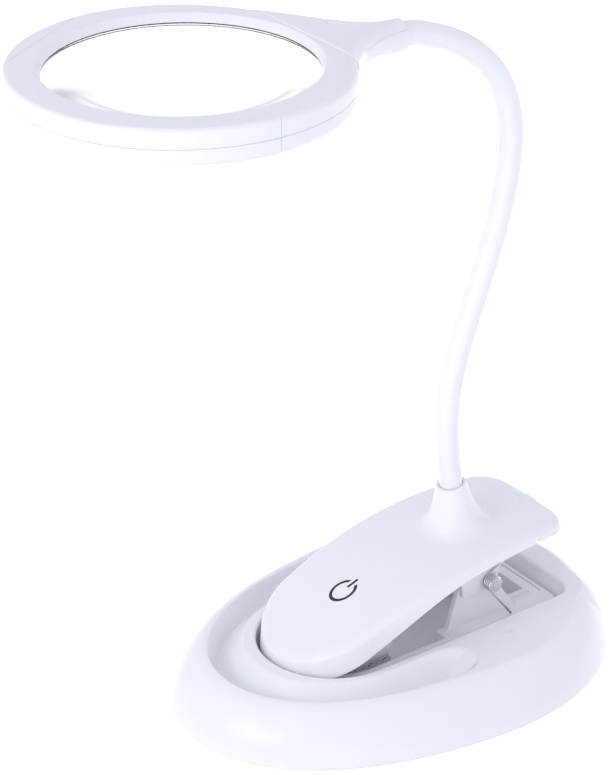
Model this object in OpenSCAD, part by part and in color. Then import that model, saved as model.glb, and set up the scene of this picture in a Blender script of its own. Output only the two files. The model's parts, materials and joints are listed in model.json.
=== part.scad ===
// Magnifying lamp: a ring-lit lens on a flexible neck that grows out of a spring clip.
// The clip drops into a weighted egg-shaped base, so the lamp stands or clamps.
// Frame: origin under the middle of the base on the table, +Z up,
// -Y towards the front (touch pad and lens), +X to the user's right. Millimetres.

/* [Base] */
// Length of the egg-shaped base, front to rear
base_len = 226; // [210:1:240]
// Width of the base before the egg taper
base_w = 165; // [155:1:180]
// Height of the rim of the base
base_h = 26; // [25:0.5:28]
// How far the non-slip pad stands out below the base
foot_h = 1.5; // [1:0.1:2]
// Half-width of the cradle that holds the clip
cradle_hw = 37.5; // [37:0.1:39]
// Depth of the trough around the front of the cradle
trough_depth = 9; // [5:0.5:9]

/* [Clip] */
// Half-width of the nose of the clip
nose_r = 33.5; // [32:0.1:34]
// Widest half-width of the clip cover
cover_hw = 36; // [34:0.5:38]
// Y of the tail of the clip cover
tail_y = 86; // [82:1:90]
// Height of the top of the clip cover
cover_top_z = 62.5; // [60:0.5:66]
// Y of the clip's hinge pin
pin_y = 39; // [36:0.5:42]
// Z of the clip's hinge pin
pin_z = 42; // [41:0.5:43]
// Radius of the hinge pin
pin_r = 2; // [1.5:0.1:2.5]
// Skin thickness of the moulded shells
skin = 2.4; // [1.8:0.1:3]

/* [Neck] */
// Radius of the flexible neck
neck_r = 5.5; // [4.5:0.1:6]
// Length of one link of the neck
link_len = 22.4; // [20:0.1:24]
// Lean of the neck at its foot, towards the front
foot_lean = 9; // [5:1:12]
// Running clearance of each ball in its cup
ball_gap = 0.05; // [0.03:0.01:0.1]

/* [Head] */
// Outer radius of the lens ring
head_r = 71; // [68:0.5:74]
// Radius of the clear opening
eye_r = 55; // [53:0.5:56]
// Height of the lens ring
head_h = 16; // [15:0.5:18]
// Distance of the ring's centre in front of the end of the neck
head_reach = 110; // [106:1:114]
// Number of light-emitting diodes
led_count = 24; // [12:1:30]

/* [Hidden] */
$fn = 96;
eps = 0.01;
gap = 0.1;

WHITE = [0.93, 0.93, 0.95];
SLEEVE = [0.95, 0.95, 0.96];
STEEL = [0.72, 0.73, 0.75];
BLACK = [0.08, 0.08, 0.09];
BOARD = [0.10, 0.35, 0.18];

// ---------- base ----------
base_a = base_len / 2;
base_b = base_w / 2;
egg_taper = 0.15;
shell_t = 2.6;
floor_z = 8;
plate_z = foot_h;
plate_t = 3;
base_under_z = plate_z + plate_t;
nose_front_y = -67;
nose_clearance = 3;
cradle_mid_y = nose_front_y - nose_clearance + cradle_hw;
cradle_rear_y = 80;
trough_floor_z = base_h - trough_depth;
trough_end_y = 9;
ridge_r = cradle_hw + 5.5;

// An egg outline, wider behind, pulled in by d all round
function egg(d, n = 80) =
  [for (i = [0:n - 1]) let (t = 360 * i / n)
    [(base_b - d) * sin(t) * (1 + egg_taper * cos(t)), (base_a - d) * cos(t)]];

// Heights and insets of the side wall of the base, bottom to top
base_layers = [[0, foot_h], [0.6, 7], [3, 15], [6, 22], [9.5, base_h]];

module base_form(inset, top_drop) {
  hull()
    for (layer = base_layers)
      translate([0, 0, min(layer[1], base_h - top_drop) - eps])
        linear_extrude(eps)
          polygon(egg(layer[0] + inset));
}

// The cradle's outline: round nose, parallel sides, square rear with round corners
module cradle_outline(grow) {
  translate([0, cradle_mid_y])
    circle(r = cradle_hw + grow);
  translate([-cradle_hw - grow, cradle_mid_y])
    square([2 * (cradle_hw + grow), cradle_rear_y + grow - cradle_mid_y]);
}

// The crescent trough, between the cradle's ridge and an oval
trough_a = 100;
trough_b = 65;
trough_mid_y = -2;
function oval(a, b, y, n = 96) = [for (i = [0:n - 1]) let (t = 360 * i / n) [b * sin(t), y + a * cos(t)]];

module trough_outline(grow) {
  difference() {
    intersection() {
      polygon(oval(trough_a + grow, trough_b + grow, trough_mid_y));
      translate([-base_w / 2, -base_len])
        square([base_w, base_len + trough_end_y + grow]);
    }
    translate([0, cradle_mid_y])
      circle(r = ridge_r - grow);
    translate([-ridge_r + grow, cradle_mid_y])
      square([2 * (ridge_r - grow), base_len]);
  }
}

base_screw_at = [[-58, -34], [58, -34], [-62, 40], [62, 40]];
screw_r = 1.45;
screw_hole_r = 1.5;
screw_head_r = 2.8;
screw_head_h = 1.4;

module base_top_shell() {
  color(WHITE)
    difference() {
      union() {
        difference() {
          base_form(0, 0);
          base_form(shell_t, shell_t);
        }
        intersection() {
          base_form(shell_t / 2, shell_t / 2);
          union() {
            translate([0, 0, floor_z - shell_t])
              linear_extrude(base_h)
                cradle_outline(shell_t);
            translate([0, 0, trough_floor_z - shell_t])
              linear_extrude(base_h)
                trough_outline(shell_t);
            for (at = base_screw_at)
              translate([at[0], at[1], base_under_z])
                cylinder(r = 3.4, h = base_h);
          }
        }
      }
      translate([0, 0, floor_z])
        linear_extrude(base_h)
          cradle_outline(0);
      translate([0, 0, trough_floor_z])
        linear_extrude(base_h)
          trough_outline(0);
      for (at = base_screw_at)
        translate([at[0], at[1], 0])
          cylinder(r = screw_hole_r, h = base_under_z + 9);
      translate([0, 0, -1])
        linear_extrude(base_under_z + 1)
          polygon(egg(shell_t));
    }
}

pad_inset = 14;
pad_recess = 0.8;
ballast_x = 52;
ballast_size = [18, 58, trough_floor_z - shell_t - base_under_z - 0.9];

module base_bottom_plate() {
  color(WHITE)
    difference() {
      translate([0, 0, plate_z])
        linear_extrude(plate_t)
          polygon(egg(shell_t + gap));
      translate([0, 0, plate_z - 1])
        linear_extrude(1 + pad_recess)
          polygon(egg(pad_inset - gap));
      for (at = base_screw_at) {
        translate([at[0], at[1], 0])
          cylinder(r = screw_hole_r + 0.2, h = base_h);
        translate([at[0], at[1], 0])
          cylinder(r = screw_head_r + 0.3, h = plate_z + pad_recess + screw_head_h);
      }
    }
}

// Two steel bars under the sides of the trough
module base_ballast() {
  color(STEEL)
    for (side = [-1, 1])
      translate([side * ballast_x - ballast_size[0] / 2, -24, base_under_z])
        cube(ballast_size);
}

// An egg-shaped rubber pad, glued into a recess under the base
module non_slip_pad() {
  color(BLACK)
    linear_extrude(foot_h + pad_recess)
      polygon(egg(pad_inset));
}

// A pan-head self-tapping screw, head at z = 0, shank upwards
module screw(length) {
  cylinder(r = screw_r, h = length);
  difference() {
    cylinder(r = screw_head_r, h = screw_head_h);
    for (a = [0, 90])
      rotate([0, 0, a])
        translate([-1.5, -0.3, -1])
          cube([3, 0.6, 1.8]);
  }
}

module base_screws() {
  color(STEEL)
    for (at = base_screw_at)
      translate([at[0], at[1], plate_z + pad_recess])
        screw(9);
}

// ---------- clip ----------
crown_r = 255;
crown_y = 58.8;
under_r = 215;
under_y = 60;
under_top_z = 55;
nose_under_z = 18;
nose_mid_y = nose_front_y + nose_r;
side_r = 420;
side_mid_y = 16;
tail_corner_r = 15;
tail_hw = cover_hw - 4;

function crown_z(y) = cover_top_z - crown_r + sqrt(crown_r * crown_r - (y - crown_y) * (y - crown_y));
function under_z(y) = under_top_z - under_r + sqrt(under_r * under_r - (y - under_y) * (y - under_y));

// The paddle's outline from above, pulled in by d
module paddle(d) {
  intersection() {
    union() {
      translate([0, nose_mid_y])
        circle(r = nose_r - d);
      translate([-base_w, nose_mid_y])
        square([2 * base_w, base_w]);
    }
    translate([side_r - cover_hw, side_mid_y])
      circle(r = side_r - d, $fn = 720);
    translate([cover_hw - side_r, side_mid_y])
      circle(r = side_r - d, $fn = 720);
    union() {
      translate([-base_w, -base_w])
        square([2 * base_w, base_w + tail_y - tail_corner_r]);
      translate([-tail_hw + tail_corner_r, 0])
        square([2 * (tail_hw - tail_corner_r), tail_y - d]);
      for (side = [-1, 1])
        translate([side * (tail_hw - tail_corner_r), tail_y - tail_corner_r])
          circle(r = tail_corner_r - d);
    }
  }
}

// A round bar along X, for surfaces that arch from front to rear
module arch(r, y, z) {
  translate([-base_w / 2, y, z])
    rotate([0, 90, 0])
      cylinder(r = r, h = base_w, $fn = 720);
}

// Everything below the clip's crowned top, lowered by drop
module below_crown(drop) {
  arch(crown_r - drop, crown_y, cover_top_z - crown_r);
}

// Everything below the clip's arched underside, lowered by drop
module below_arch(drop) {
  arch(under_r - drop, under_y, under_top_z - under_r);
  translate([-base_w / 2, -base_w, 0])
    cube([base_w, base_w - 50, nose_under_z - drop]);
}

boss_top = [0, 35.5, 84];
boss_rim_r = 7.2;
boss_foot_r = 16;
boss_h = 24;
boss_bore_r = 4.2;
seat_depth = 5;

// Points of the boss's flared side, from its foot up to its rim
boss_flare = [for (i = [0:8]) let (t = i / 8)
  [boss_rim_r + (boss_foot_r - boss_rim_r) * pow(1 - t, 2.4), -boss_h * (1 - t)]];

module at_boss() {
  translate(boss_top)
    rotate([foot_lean, 0, 0])
      children();
}

module boss_body() {
  at_boss()
    rotate_extrude()
      polygon(concat([[0, -boss_h]], boss_flare, [[0, 0]]));
}

tray_screw_at = [[-25, -28], [25, -28], [-22, 72], [22, 72]];
socket_z = 57.85;
socket_w = 7.4;
socket_t = 2;
socket_len = 8.6;
socket_wall = 0.4;
socket_y = tail_y - 0.4 - socket_len;
symbol_y = -27;
symbol_r = 5.2;
symbol_line = 1.2;
symbol_deep = 0.8;
symbol_lean = asin((crown_y - symbol_y) / crown_r);
slot_y = 76;
slot_step = 3.4;
slot_w = 8;
light_z = 59.2;

module at_symbol() {
  translate([0, symbol_y, crown_z(symbol_y)])
    rotate([symbol_lean, 0, 0])
      children();
}

// The power mark: a ring open at the back and a bar through the gap
module symbol_form(grow, above) {
  translate([0, 0, -symbol_deep])
    linear_extrude(symbol_deep + above) {
      difference() {
        circle(r = symbol_r + symbol_line / 2 + grow);
        circle(r = symbol_r - symbol_line / 2 - grow);
        translate([-1.8 + grow, 0])
          square([3.6 - 2 * grow, 2 * symbol_r]);
      }
      translate([-symbol_line / 2 - grow, symbol_r - 2.8 - grow])
        square([symbol_line + 2 * grow, 4.8 + 2 * grow]);
    }
}

module clip_cover() {
  color(WHITE)
    difference() {
      union() {
        difference() {
          intersection() {
            linear_extrude(base_w)
              paddle(0);
            below_crown(0);
          }
          below_arch(0);
          intersection() {
            linear_extrude(base_w)
              paddle(skin);
            below_crown(skin);
          }
        }
        difference() {
          boss_body();
          below_crown(skin / 2);
        }
        for (at = tray_screw_at)
          difference() {
            intersection() {
              translate([at[0], at[1], 0])
                cylinder(r = 3, h = base_w);
              below_crown(skin / 2);
            }
            below_arch(-skin);
          }
      }
      at_boss() {
        translate([0, 0, -seat_depth])
          cylinder(r = neck_r + ball_gap, h = seat_depth + 1);
        translate([0, 0, -boss_h - 10])
          cylinder(r = boss_bore_r, h = boss_h + 10);
      }
      for (at = tray_screw_at)
        translate([at[0], at[1], 0])
          cylinder(r = screw_hole_r, h = crown_z(at[1]) - 2);
      translate([-socket_w / 2 - gap, socket_y, socket_z - socket_t / 2 - gap])
        cube([socket_w + 2 * gap, socket_len + 4, socket_t + 2 * gap]);
      for (i = [0, 1])
        translate([-slot_w / 2 - gap, slot_y + i * slot_step - 0.5 - gap, light_z - gap])
          cube([slot_w + 2 * gap, 1 + 2 * gap, 12]);
      at_symbol()
        symbol_form(0.03, 1);
    }
}

module power_symbol() {
  color(BLACK)
    at_symbol()
      symbol_form(0, 0);
}

module charge_lights() {
  color([0.9, 0.92, 0.95])
    intersection() {
      union()
        for (i = [0, 1])
          translate([-slot_w / 2, slot_y + i * slot_step - 0.5, light_z])
            cube([slot_w, 1, 12]);
      below_crown(-0.2);
    }
}

jaw_split_z = 17;
tub_hw = 21;
tub_y = [-50, -14];
tub_wall = 1.8;
tub_floor_z = jaw_split_z + 2.6;
tub_len = tub_y[1] - tub_y[0];
above_roof = 40;
lug_x = 17.8;
lug_t = 3;
lug_r = 5;
lug_reach = 20;

module along_pin(r, half) {
  translate([-half, pin_y, pin_z])
    rotate([0, 90, 0])
      cylinder(r = r, h = 2 * half);
}

// The closing plate under the cover, its battery tub and the two lugs that hang on the pin
module clip_tray() {
  color(WHITE)
    difference() {
      union() {
        difference() {
          intersection() {
            linear_extrude(base_w)
              paddle(skin + gap);
            below_arch(gap - skin);
          }
          below_arch(0);
        }
        intersection() {
          union() {
            translate([-tub_hw, tub_y[0], tub_floor_z])
              cube([2 * tub_hw, tub_len, above_roof]);
            for (side = [-1, 1])
              translate([side * lug_x - lug_t / 2, pin_y, pin_z])
                rotate([0, 90, 0]) {
                  cylinder(r = lug_r, h = lug_t);
                  translate([-lug_reach, -lug_r, 0])
                    cube([lug_reach, 2 * lug_r, lug_t]);
                }
          }
          below_arch(-1);
        }
      }
      translate([-tub_hw + tub_wall, tub_y[0] + tub_wall, tub_floor_z + tub_wall])
        cube([2 * (tub_hw - tub_wall), tub_len - 2 * tub_wall, above_roof]);
      along_pin(pin_r + ball_gap, pin_half);
      for (at = tray_screw_at)
        translate([at[0], at[1], 0]) {
          cylinder(r = screw_hole_r + 0.2, h = base_w);
          cylinder(r = screw_head_r + 0.3, h = under_z(at[1]) + 1);
        }
      at_boss()
        translate([0, 0, -boss_h - 12])
          cylinder(r = nut_r + 1, h = 12);
    }
}

nut_r = 7;
nut_t = 3;
nut_top = 2.6;

// A flat nut on the stub of the neck, pulled up against the roof of the cover
module boss_nut() {
  color(STEEL)
    at_boss()
      translate([0, 0, -boss_h - nut_top - nut_t])
        difference() {
          cylinder(r = nut_r, h = nut_t, $fn = 6);
          translate([0, 0, -1])
            cylinder(r = stub_r + ball_gap, h = nut_t + 2);
        }
}

pad_hw = tub_hw - 1;
groove_pitch = 4;
groove_w = 1;
groove_deep = 0.7;
groove_count = 8;

// Grooves across a jaw pad, below z = 0
module pad_grooves() {
  for (i = [1:groove_count])
    translate([-base_w / 2, groove_pitch * i - 1, -1])
      cube([base_w, groove_w, 1 + groove_deep]);
}

module upper_jaw_pad() {
  color(BLACK)
    translate([0, tub_y[0] + 1, jaw_split_z + gap])
      difference() {
        translate([-pad_hw, 0, 0])
          cube([2 * pad_hw, tub_len - 2, tub_floor_z - jaw_split_z - gap]);
        pad_grooves();
      }
}

battery_hw = 17;
battery_h = 9;

module battery() {
  color([0.55, 0.58, 0.62])
    translate([-battery_hw, tub_y[0] + tub_wall + 0.5, tub_floor_z + tub_wall])
      cube([2 * battery_hw, tub_len - 2 * tub_wall - 1, battery_h]);
}

board_at = [0, 8, 53.15];
board_lean = 14;
board_size = [30, 20, 1];

module at_board() {
  translate(board_at)
    rotate([board_lean, 0, 0])
      children();
}

module control_board() {
  color(BOARD)
    at_board() {
      translate([-board_size[0] / 2, -board_size[1] / 2, -0.5])
        cube(board_size);
      translate([-4, -4, 0.5 - eps])
        cube([8, 6, 0.9]);
      translate([8, 2, 0.5 - eps])
        cube([4, 4, 0.9]);
      translate([-13, -6, 0.5 - eps])
        cube([4, 10, 0.9]);
    }
}

lead_r = 0.6;
lead_len = 14;
lead_y = -17.5;
lead_z = jaw_split_z + 15;

// Two leads from the battery up to the control board
module battery_leads() {
  color([0.7, 0.1, 0.1])
    for (x = [-9, -6])
      translate([x, lead_y, lead_z]) {
        cylinder(r = lead_r, h = lead_len, $fn = 24);
        translate([0, 0, lead_len])
          sphere(r = lead_r, $fn = 24);
      }
}

electrode_r = 7;
electrode_t = 0.3;

module touch_electrode() {
  color([0.8, 0.5, 0.3])
    at_symbol()
      translate([0, 0, -skin - 2 * electrode_t])
        cylinder(r = electrode_r, h = electrode_t);
}

module charge_socket() {
  color(STEEL)
    translate([-socket_w / 2, socket_y, socket_z - socket_t / 2])
      difference() {
        cube([socket_w, socket_len, socket_t]);
        translate([socket_wall, socket_len / 2, socket_wall])
          cube([socket_w - 2 * socket_wall, socket_len, socket_t - 2 * socket_wall]);
      }
}

module tray_screws() {
  color(STEEL)
    for (at = tray_screw_at)
      translate([at[0], at[1], under_z(at[1]) - 0.6])
        screw(6);
}

// ---------- lower jaw ----------
jaw_t = 3;
jaw_hw = 31;
jaw_front_y = -62;
jaw_rear_y = 75;
jaw_wall = 2;
jaw_wall_top = 20;
ear_x = 21;
ear_t = 2.6;
ear_r = 5.5;
ear_foot_y = [2, 57];
ear_shoulder_y = 24;
well_hw = 15;
well_y = [51, 72];
well_h = 10;
well_wall = 2;
pin_half = 31.5;

module jaw_outline() {
  translate([0, jaw_front_y + jaw_hw])
    circle(r = jaw_hw);
  translate([-jaw_hw, jaw_front_y + jaw_hw])
    square([2 * jaw_hw, jaw_rear_y - jaw_front_y - jaw_hw]);
}

module lower_jaw() {
  color(WHITE)
    difference() {
      union() {
        translate([0, 0, floor_z])
          linear_extrude(jaw_t)
            jaw_outline();
        for (side = [-1, 1]) {
          translate([side * (jaw_hw - jaw_wall / 2) - jaw_wall / 2, 0, floor_z])
            cube([jaw_wall, jaw_rear_y, jaw_wall_top - floor_z]);
          translate([side * (ear_x + ear_t / 2) - ear_t / 2, 0, 0])
            rotate([90, 0, 90])
              linear_extrude(ear_t) {
                polygon([
                  [ear_foot_y[0], floor_z + 1], [ear_foot_y[1], floor_z + 1],
                  [pin_y + ear_r, pin_z], [ear_shoulder_y, pin_z]]);
                translate([pin_y, pin_z])
                  circle(r = ear_r);
              }
        }
        translate([-well_hw, well_y[0], floor_z])
          cube([2 * well_hw, well_y[1] - well_y[0], well_h]);
        translate([-jaw_hw, jaw_rear_y - jaw_wall, floor_z])
          cube([2 * jaw_hw, jaw_wall, jaw_wall_top - floor_z]);
      }
      translate([-well_hw + well_wall, well_y[0] + well_wall, floor_z + jaw_t])
        cube([2 * (well_hw - well_wall), well_y[1] - well_y[0] - 2 * well_wall, base_h]);
      translate([-well_hw + 2 * well_wall, well_y[0] + 2 * well_wall, 0])
        cube([2 * (well_hw - 2 * well_wall), well_y[1] - well_y[0] - 4 * well_wall, base_h]);
      along_pin(pin_r + 0.02, pin_half);
    }
}

pad_front_y = -50;
pad_len = 36;

module lower_jaw_pad() {
  color(BLACK)
    translate([0, pad_front_y, jaw_split_z - gap])
      difference() {
        translate([-pad_hw, 0, floor_z + jaw_t + gap - jaw_split_z])
          cube([2 * pad_hw, pad_len, jaw_split_z - floor_z - jaw_t - gap]);
        mirror([0, 0, 1])
          pad_grooves();
      }
}

module hinge_pin() {
  color(STEEL)
    along_pin(pin_r, pin_half);
}

clip_r = 3.6;
clip_t = 0.8;

module pin_clips() {
  color(STEEL)
    for (side = [-1, 1])
      translate([side * (pin_half - 0.6) - clip_t / 2, pin_y, pin_z])
        rotate([0, 90, 0])
          difference() {
            cylinder(r = clip_r, h = clip_t);
            translate([0, 0, -1])
              cylinder(r = pin_r + 0.02, h = clip_t + 2);
          }
}

spring_wire_r = 0.6;
spring_r = 3.6;
spring_pitch = 1.3;
spring_turns = 3.27;
spring_from_x = 24.4;
spring_steps = 18;
upper_leg_len = 16;
lower_leg_len = 23.6;

// Centre line of one spring: a leg up under the tray, a coil round the pin, a leg down to the jaw
coil_end = 360 * spring_turns;
coil_start_angle = 120;
function coil_point(a) = [
  spring_from_x + spring_wire_r + spring_pitch * a / 360,
  pin_y + spring_r * cos(coil_start_angle + a),
  pin_z + spring_r * sin(coil_start_angle + a)];
function leg_dir(a) = [0, -sin(coil_start_angle + a), cos(coil_start_angle + a)];
spring_path = concat(
  [coil_point(0) - upper_leg_len * leg_dir(0)],
  [for (i = [0:spring_steps * spring_turns]) coil_point(360 * i / spring_steps)],
  [coil_point(coil_end)],
  [coil_point(coil_end) + lower_leg_len * leg_dir(coil_end)]);

// A round wire swept along points that never double back
function unit(v) = v / norm(v);
module wire(path, r, sides = 8) {
  n = len(path);
  tangents = [for (i = [0:n - 1]) unit(path[min(i + 1, n - 1)] - path[max(i - 1, 0)])];
  rings = [for (i = [0:n - 1])
    let (u = unit(cross(tangents[i], [1, 0.001, 0.002])), w = cross(tangents[i], u))
      for (k = [0:sides - 1]) path[i] + r * (cos(360 * k / sides) * u + sin(360 * k / sides) * w)];
  walls = [for (i = [0:n - 2]) for (k = [0:sides - 1]) let (a = i * sides, b = (k + 1) % sides)
    [a + k, a + sides + k, a + sides + b, a + b]];
  polyhedron(rings, concat(
    [[for (k = [0:sides - 1]) k]],
    walls,
    [[for (k = [sides - 1:-1:0]) (n - 1) * sides + k]]));
}

module torsion_springs() {
  color(STEEL)
    for (side = [0, 1])
      mirror([side, 0, 0])
        wire(spring_path, spring_wire_r);
}

// ---------- neck ----------
stub_r = 3.9;
bar_r = neck_r - 0.1;
foot_stub_len = boss_h + nut_top + nut_t + 1;

// Turn of each link at rest, in degrees; positive bends towards the rear
link_turns = [3.5, 11, 11.5, 4, -1.5, -4, -7.5, -14, -25, -22, -15, -15];
link_count = len(link_turns);

// Heading and place of the start of link i, in the YZ plane
function heading(i) = i == 0 ? -foot_lean : heading(i - 1) + link_turns[i - 1];
function arc_r(i) = link_len / (abs(link_turns[i]) * PI / 180);
function link_at(i) =
  i == 0 ? [boss_top[1], boss_top[2]] :
  let (chord = 2 * arc_r(i - 1) * sin(abs(link_turns[i - 1]) / 2), h = heading(i - 1) + link_turns[i - 1] / 2)
    link_at(i - 1) + chord * [sin(h), cos(h)];

module at_link(i) {
  translate([0, link_at(i)[0], link_at(i)[1]])
    rotate([-heading(i), 0, 0])
      children();
}

// A bent bar of radius r that starts up +Z and turns towards +Y when turn is positive
module bent_bar(turn, r) {
  bend_r = link_len / (abs(turn) * PI / 180);
  mirror([0, turn < 0 ? 1 : 0, 0])
    multmatrix([[0, 0, -1, 0], [-1, 0, 0, bend_r], [0, 1, 0, 0], [0, 0, 0, 1]])
      rotate_extrude(angle = abs(turn), $fn = 360)
        translate([bend_r, 0])
          circle(r = r, $fn = 64);
}

// Link i: a bent bar with a ball at its far end and a cup at its near end
module neck_link(i) {
  first = i == 0;
  last = i == link_count - 1;
  color(SLEEVE)
    difference() {
      union() {
        at_link(i)
          bent_bar(link_turns[i], bar_r);
        if (!last)
          at_link(i + 1)
            sphere(r = neck_r);
        if (first)
          at_boss() {
            translate([0, 0, -seat_depth])
              cylinder(r = bar_r - 0.1, h = seat_depth + 0.2);
            translate([0, 0, -foot_stub_len])
              cylinder(r = stub_r, h = foot_stub_len - seat_depth + 0.5);
          }
        if (last)
          at_link(i + 1)
            translate([0, 0, -0.2])
              cylinder(r = stub_r, h = stub_len);
      }
      if (!first)
        at_link(i)
          sphere(r = neck_r + ball_gap);
    }
}

module neck_link_01() { neck_link(0); }
module neck_link_02() { neck_link(1); }
module neck_link_03() { neck_link(2); }
module neck_link_04() { neck_link(3); }
module neck_link_05() { neck_link(4); }
module neck_link_06() { neck_link(5); }
module neck_link_07() { neck_link(6); }
module neck_link_08() { neck_link(7); }
module neck_link_09() { neck_link(8); }
module neck_link_10() { neck_link(9); }
module neck_link_11() { neck_link(10); }
module neck_link_12() { neck_link(11); }

// ---------- head ----------
stub_len = 15;
neck_end = link_at(link_count);
head_y = neck_end[0] - head_reach;
head_z = neck_end[1] - 3.5;
split_h = 7.7;
wall_t = 2;
ring_in_r = 58.2;
bevel_h = 3.4;
lens_r = eye_r + 3;
lens_edge_h = [6.6, 9.8];
lens_sag = 4;
lens_seat_z = lens_edge_h[1] + 0.5;
gasket_t = 0.2;
diffuser_r = [eye_r + 0.5, 64.8];
diffuser_z = [0.55, 1.75];
diffuser_wall_t = 1.2;
led_ring_r = 61.2;
led_size = [2.8, 3.5, 0.8];
post_r = [lens_r + 0.3, lens_r + 1.7];
board_h = 3.9;
chord_d = 58.6;
cap_chord_d = 63.2;
cap_t = 1.1;
cap_angles = [-30, 210];
head_screw_angles = [30, 150, 270];
head_screw_ring_r = 67.2;
collar_hw = 7.4;

module at_head() {
  translate([0, head_y, head_z])
    children();
}

// The ring's outer form, a round-edged disc
module ring_form(inset) {
  r = head_r - inset;
  top = head_h - inset;
  rotate_extrude()
    polygon([
      [0, inset], [r - 3.2, inset], [r - 1, inset + 1], [r, inset + 3.2],
      [r, top - 2.6], [r - 0.8, top - 0.8], [r - 2.6, top], [0, top]]);
}

module disc(r, from, to) {
  translate([0, 0, from])
    cylinder(r = r, h = to - from);
}

module annulus(r_in, r_out, from, to) {
  difference() {
    disc(r_out, from, to);
    disc(r_in, from - 1, to + 1);
  }
}

// The region outside a chord at distance d, at angle a
module beyond_chord(d, a) {
  rotate([0, 0, a])
    translate([d, -head_r, -1])
      cube([2 * head_r, 2 * head_r, head_h + 2]);
}

module neck_zone(grow) {
  beyond_chord(chord_d - grow, 90);
}

// The skin that the side caps take from the ring, over both halves
module cap_zone(grow) {
  for (a = cap_angles)
    intersection() {
      beyond_chord(cap_chord_d - grow, a);
      difference() {
        ring_form(-1);
        disc(head_r - cap_t - grow, cap_t + grow, head_h - cap_t - grow);
      }
    }
}

module screw_posts(r, from, to) {
  for (a = head_screw_angles)
    rotate([0, 0, a])
      translate([head_screw_ring_r, 0, from])
        cylinder(r = r, h = to - from);
}

module head_upper_ring() {
  color(WHITE)
    at_head()
      difference() {
        union() {
          intersection() {
            ring_form(0);
            disc(head_r + 1, split_h, head_h + 1);
            difference() {
              disc(head_r + 1, 0, head_h + 1);
              disc(head_r - wall_t, 0, head_h - wall_t);
            }
          }
          annulus(post_r[0], post_r[1], board_h + 1, head_h - 1);
          annulus(eye_r, post_r[1], lens_seat_z, head_h);
          screw_posts(1.7, split_h, head_h - 1);
        }
        translate([0, 0, head_h - bevel_h])
          cylinder(r1 = eye_r, r2 = ring_in_r, h = bevel_h + eps);
        disc(eye_r, -1, head_h + 1);
        screw_posts(screw_hole_r - 0.5, split_h - 1, split_h + 6);
        neck_zone(0.05);
        cap_zone(0.05);
      }
}

module head_lower_ring() {
  color(WHITE)
    at_head()
      difference() {
        union() {
          intersection() {
            ring_form(0);
            disc(head_r + 1, -1, split_h - 0.05);
            difference() {
              disc(head_r + 1, -1, head_h);
              disc(head_r - wall_t, 1.6, head_h);
            }
          }
          screw_posts(1.7, 1, split_h - 0.05);
        }
        disc(diffuser_r[1] - 0.8, -1, head_h);
        disc(diffuser_r[1] + 0.2, diffuser_z[0], head_h);
        screw_posts(screw_hole_r - 0.4, -1, split_h + 1);
        screw_posts(2.2, -1, 1);
        neck_zone(0.05);
        cap_zone(0.05);
      }
}

module rim_cap(side, upper) {
  color(WHITE)
    at_head()
      intersection() {
        ring_form(0);
        cap_zone(0);
        disc(head_r + 1, upper ? split_h : -1, upper ? head_h + 1 : split_h - 0.05);
        translate([side < 0 ? -2 * head_r : 0, -2 * head_r, -1])
          cube([2 * head_r, 4 * head_r, head_h + 2]);
        annulus(diffuser_r[1] + 0.3, head_r + 1, -1, head_h + 1);
      }
}

module rim_cap_left_upper() { rim_cap(-1, true); }
module rim_cap_left_lower() { rim_cap(-1, false); }
module rim_cap_right_upper() { rim_cap(1, true); }
module rim_cap_right_lower() { rim_cap(1, false); }

// Half-width of the neck cover, from the ring's chord (0) to its collar (1)
ring_chord_hw = sqrt(head_r * head_r - chord_d * chord_d);
function flare_hw(t) = collar_hw + (ring_chord_hw - collar_hw) * pow(1 - t, 2.6);

// The neck cover's outer form in the head's frame, pulled in by d
module neck_form(d) {
  steps = 14;
  collar_z = neck_end[1] - head_z;
  right = [for (i = [0:steps]) let (t = i / steps) [flare_hw(t) - d, chord_d + (head_reach - chord_d) * t]];
  left = [for (i = [steps:-1:0]) [-right[i][0], right[i][1]]];
  intersection() {
    translate([0, 0, -2])
      linear_extrude(head_h + 4)
        polygon(concat(right, left));
    rotate([90, 0, 90])
      translate([0, 0, -head_r])
        linear_extrude(2 * head_r)
          polygon([
            [chord_d, d], [chord_d + 14, d], [head_reach, collar_z - collar_hw + d],
            [head_reach, collar_z + collar_hw - d], [chord_d + 14, head_h - d], [chord_d, head_h - d]]);
  }
}

module neck_cover_half(upper) {
  color(WHITE)
    difference() {
      at_head()
        difference() {
          intersection() {
            neck_form(0);
            neck_zone(0);
            disc(2 * head_reach, upper ? split_h : -2, upper ? head_h + 2 : split_h - 0.05);
          }
          intersection() {
            neck_form(1.8);
            beyond_chord(chord_d + 1.8, 90);
            translate([-head_r, 0, -1])
              cube([2 * head_r, head_reach - 11, head_h + 2]);
            disc(2 * head_r, 1.8, head_h - 1.8);
          }
        }
      at_link(link_count) {
        translate([0, 0, -1])
          cylinder(r = stub_r + ball_gap, h = stub_len + 2);
        translate([0, 0, 11])
          cylinder(r = 5.7, h = 5);
        translate([0, 0, -4])
          cylinder(r = neck_r + ball_gap, h = 4.05);
      }
      if (!upper)
        at_head()
          disc(diffuser_r[1] + 0.2, -3, split_h + 1);
    }
}

module neck_cover_upper() { neck_cover_half(true); }
module neck_cover_lower() { neck_cover_half(false); }

// The steel ring that grips the stub of the neck inside the cover
module neck_clamp() {
  color(STEEL)
    at_link(link_count)
      translate([0, 0, 11.3])
        difference() {
          cylinder(r = 5.4, h = 3);
          translate([0, 0, -1])
            cylinder(r = stub_r + 0.02, h = 5);
        }
}

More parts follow.
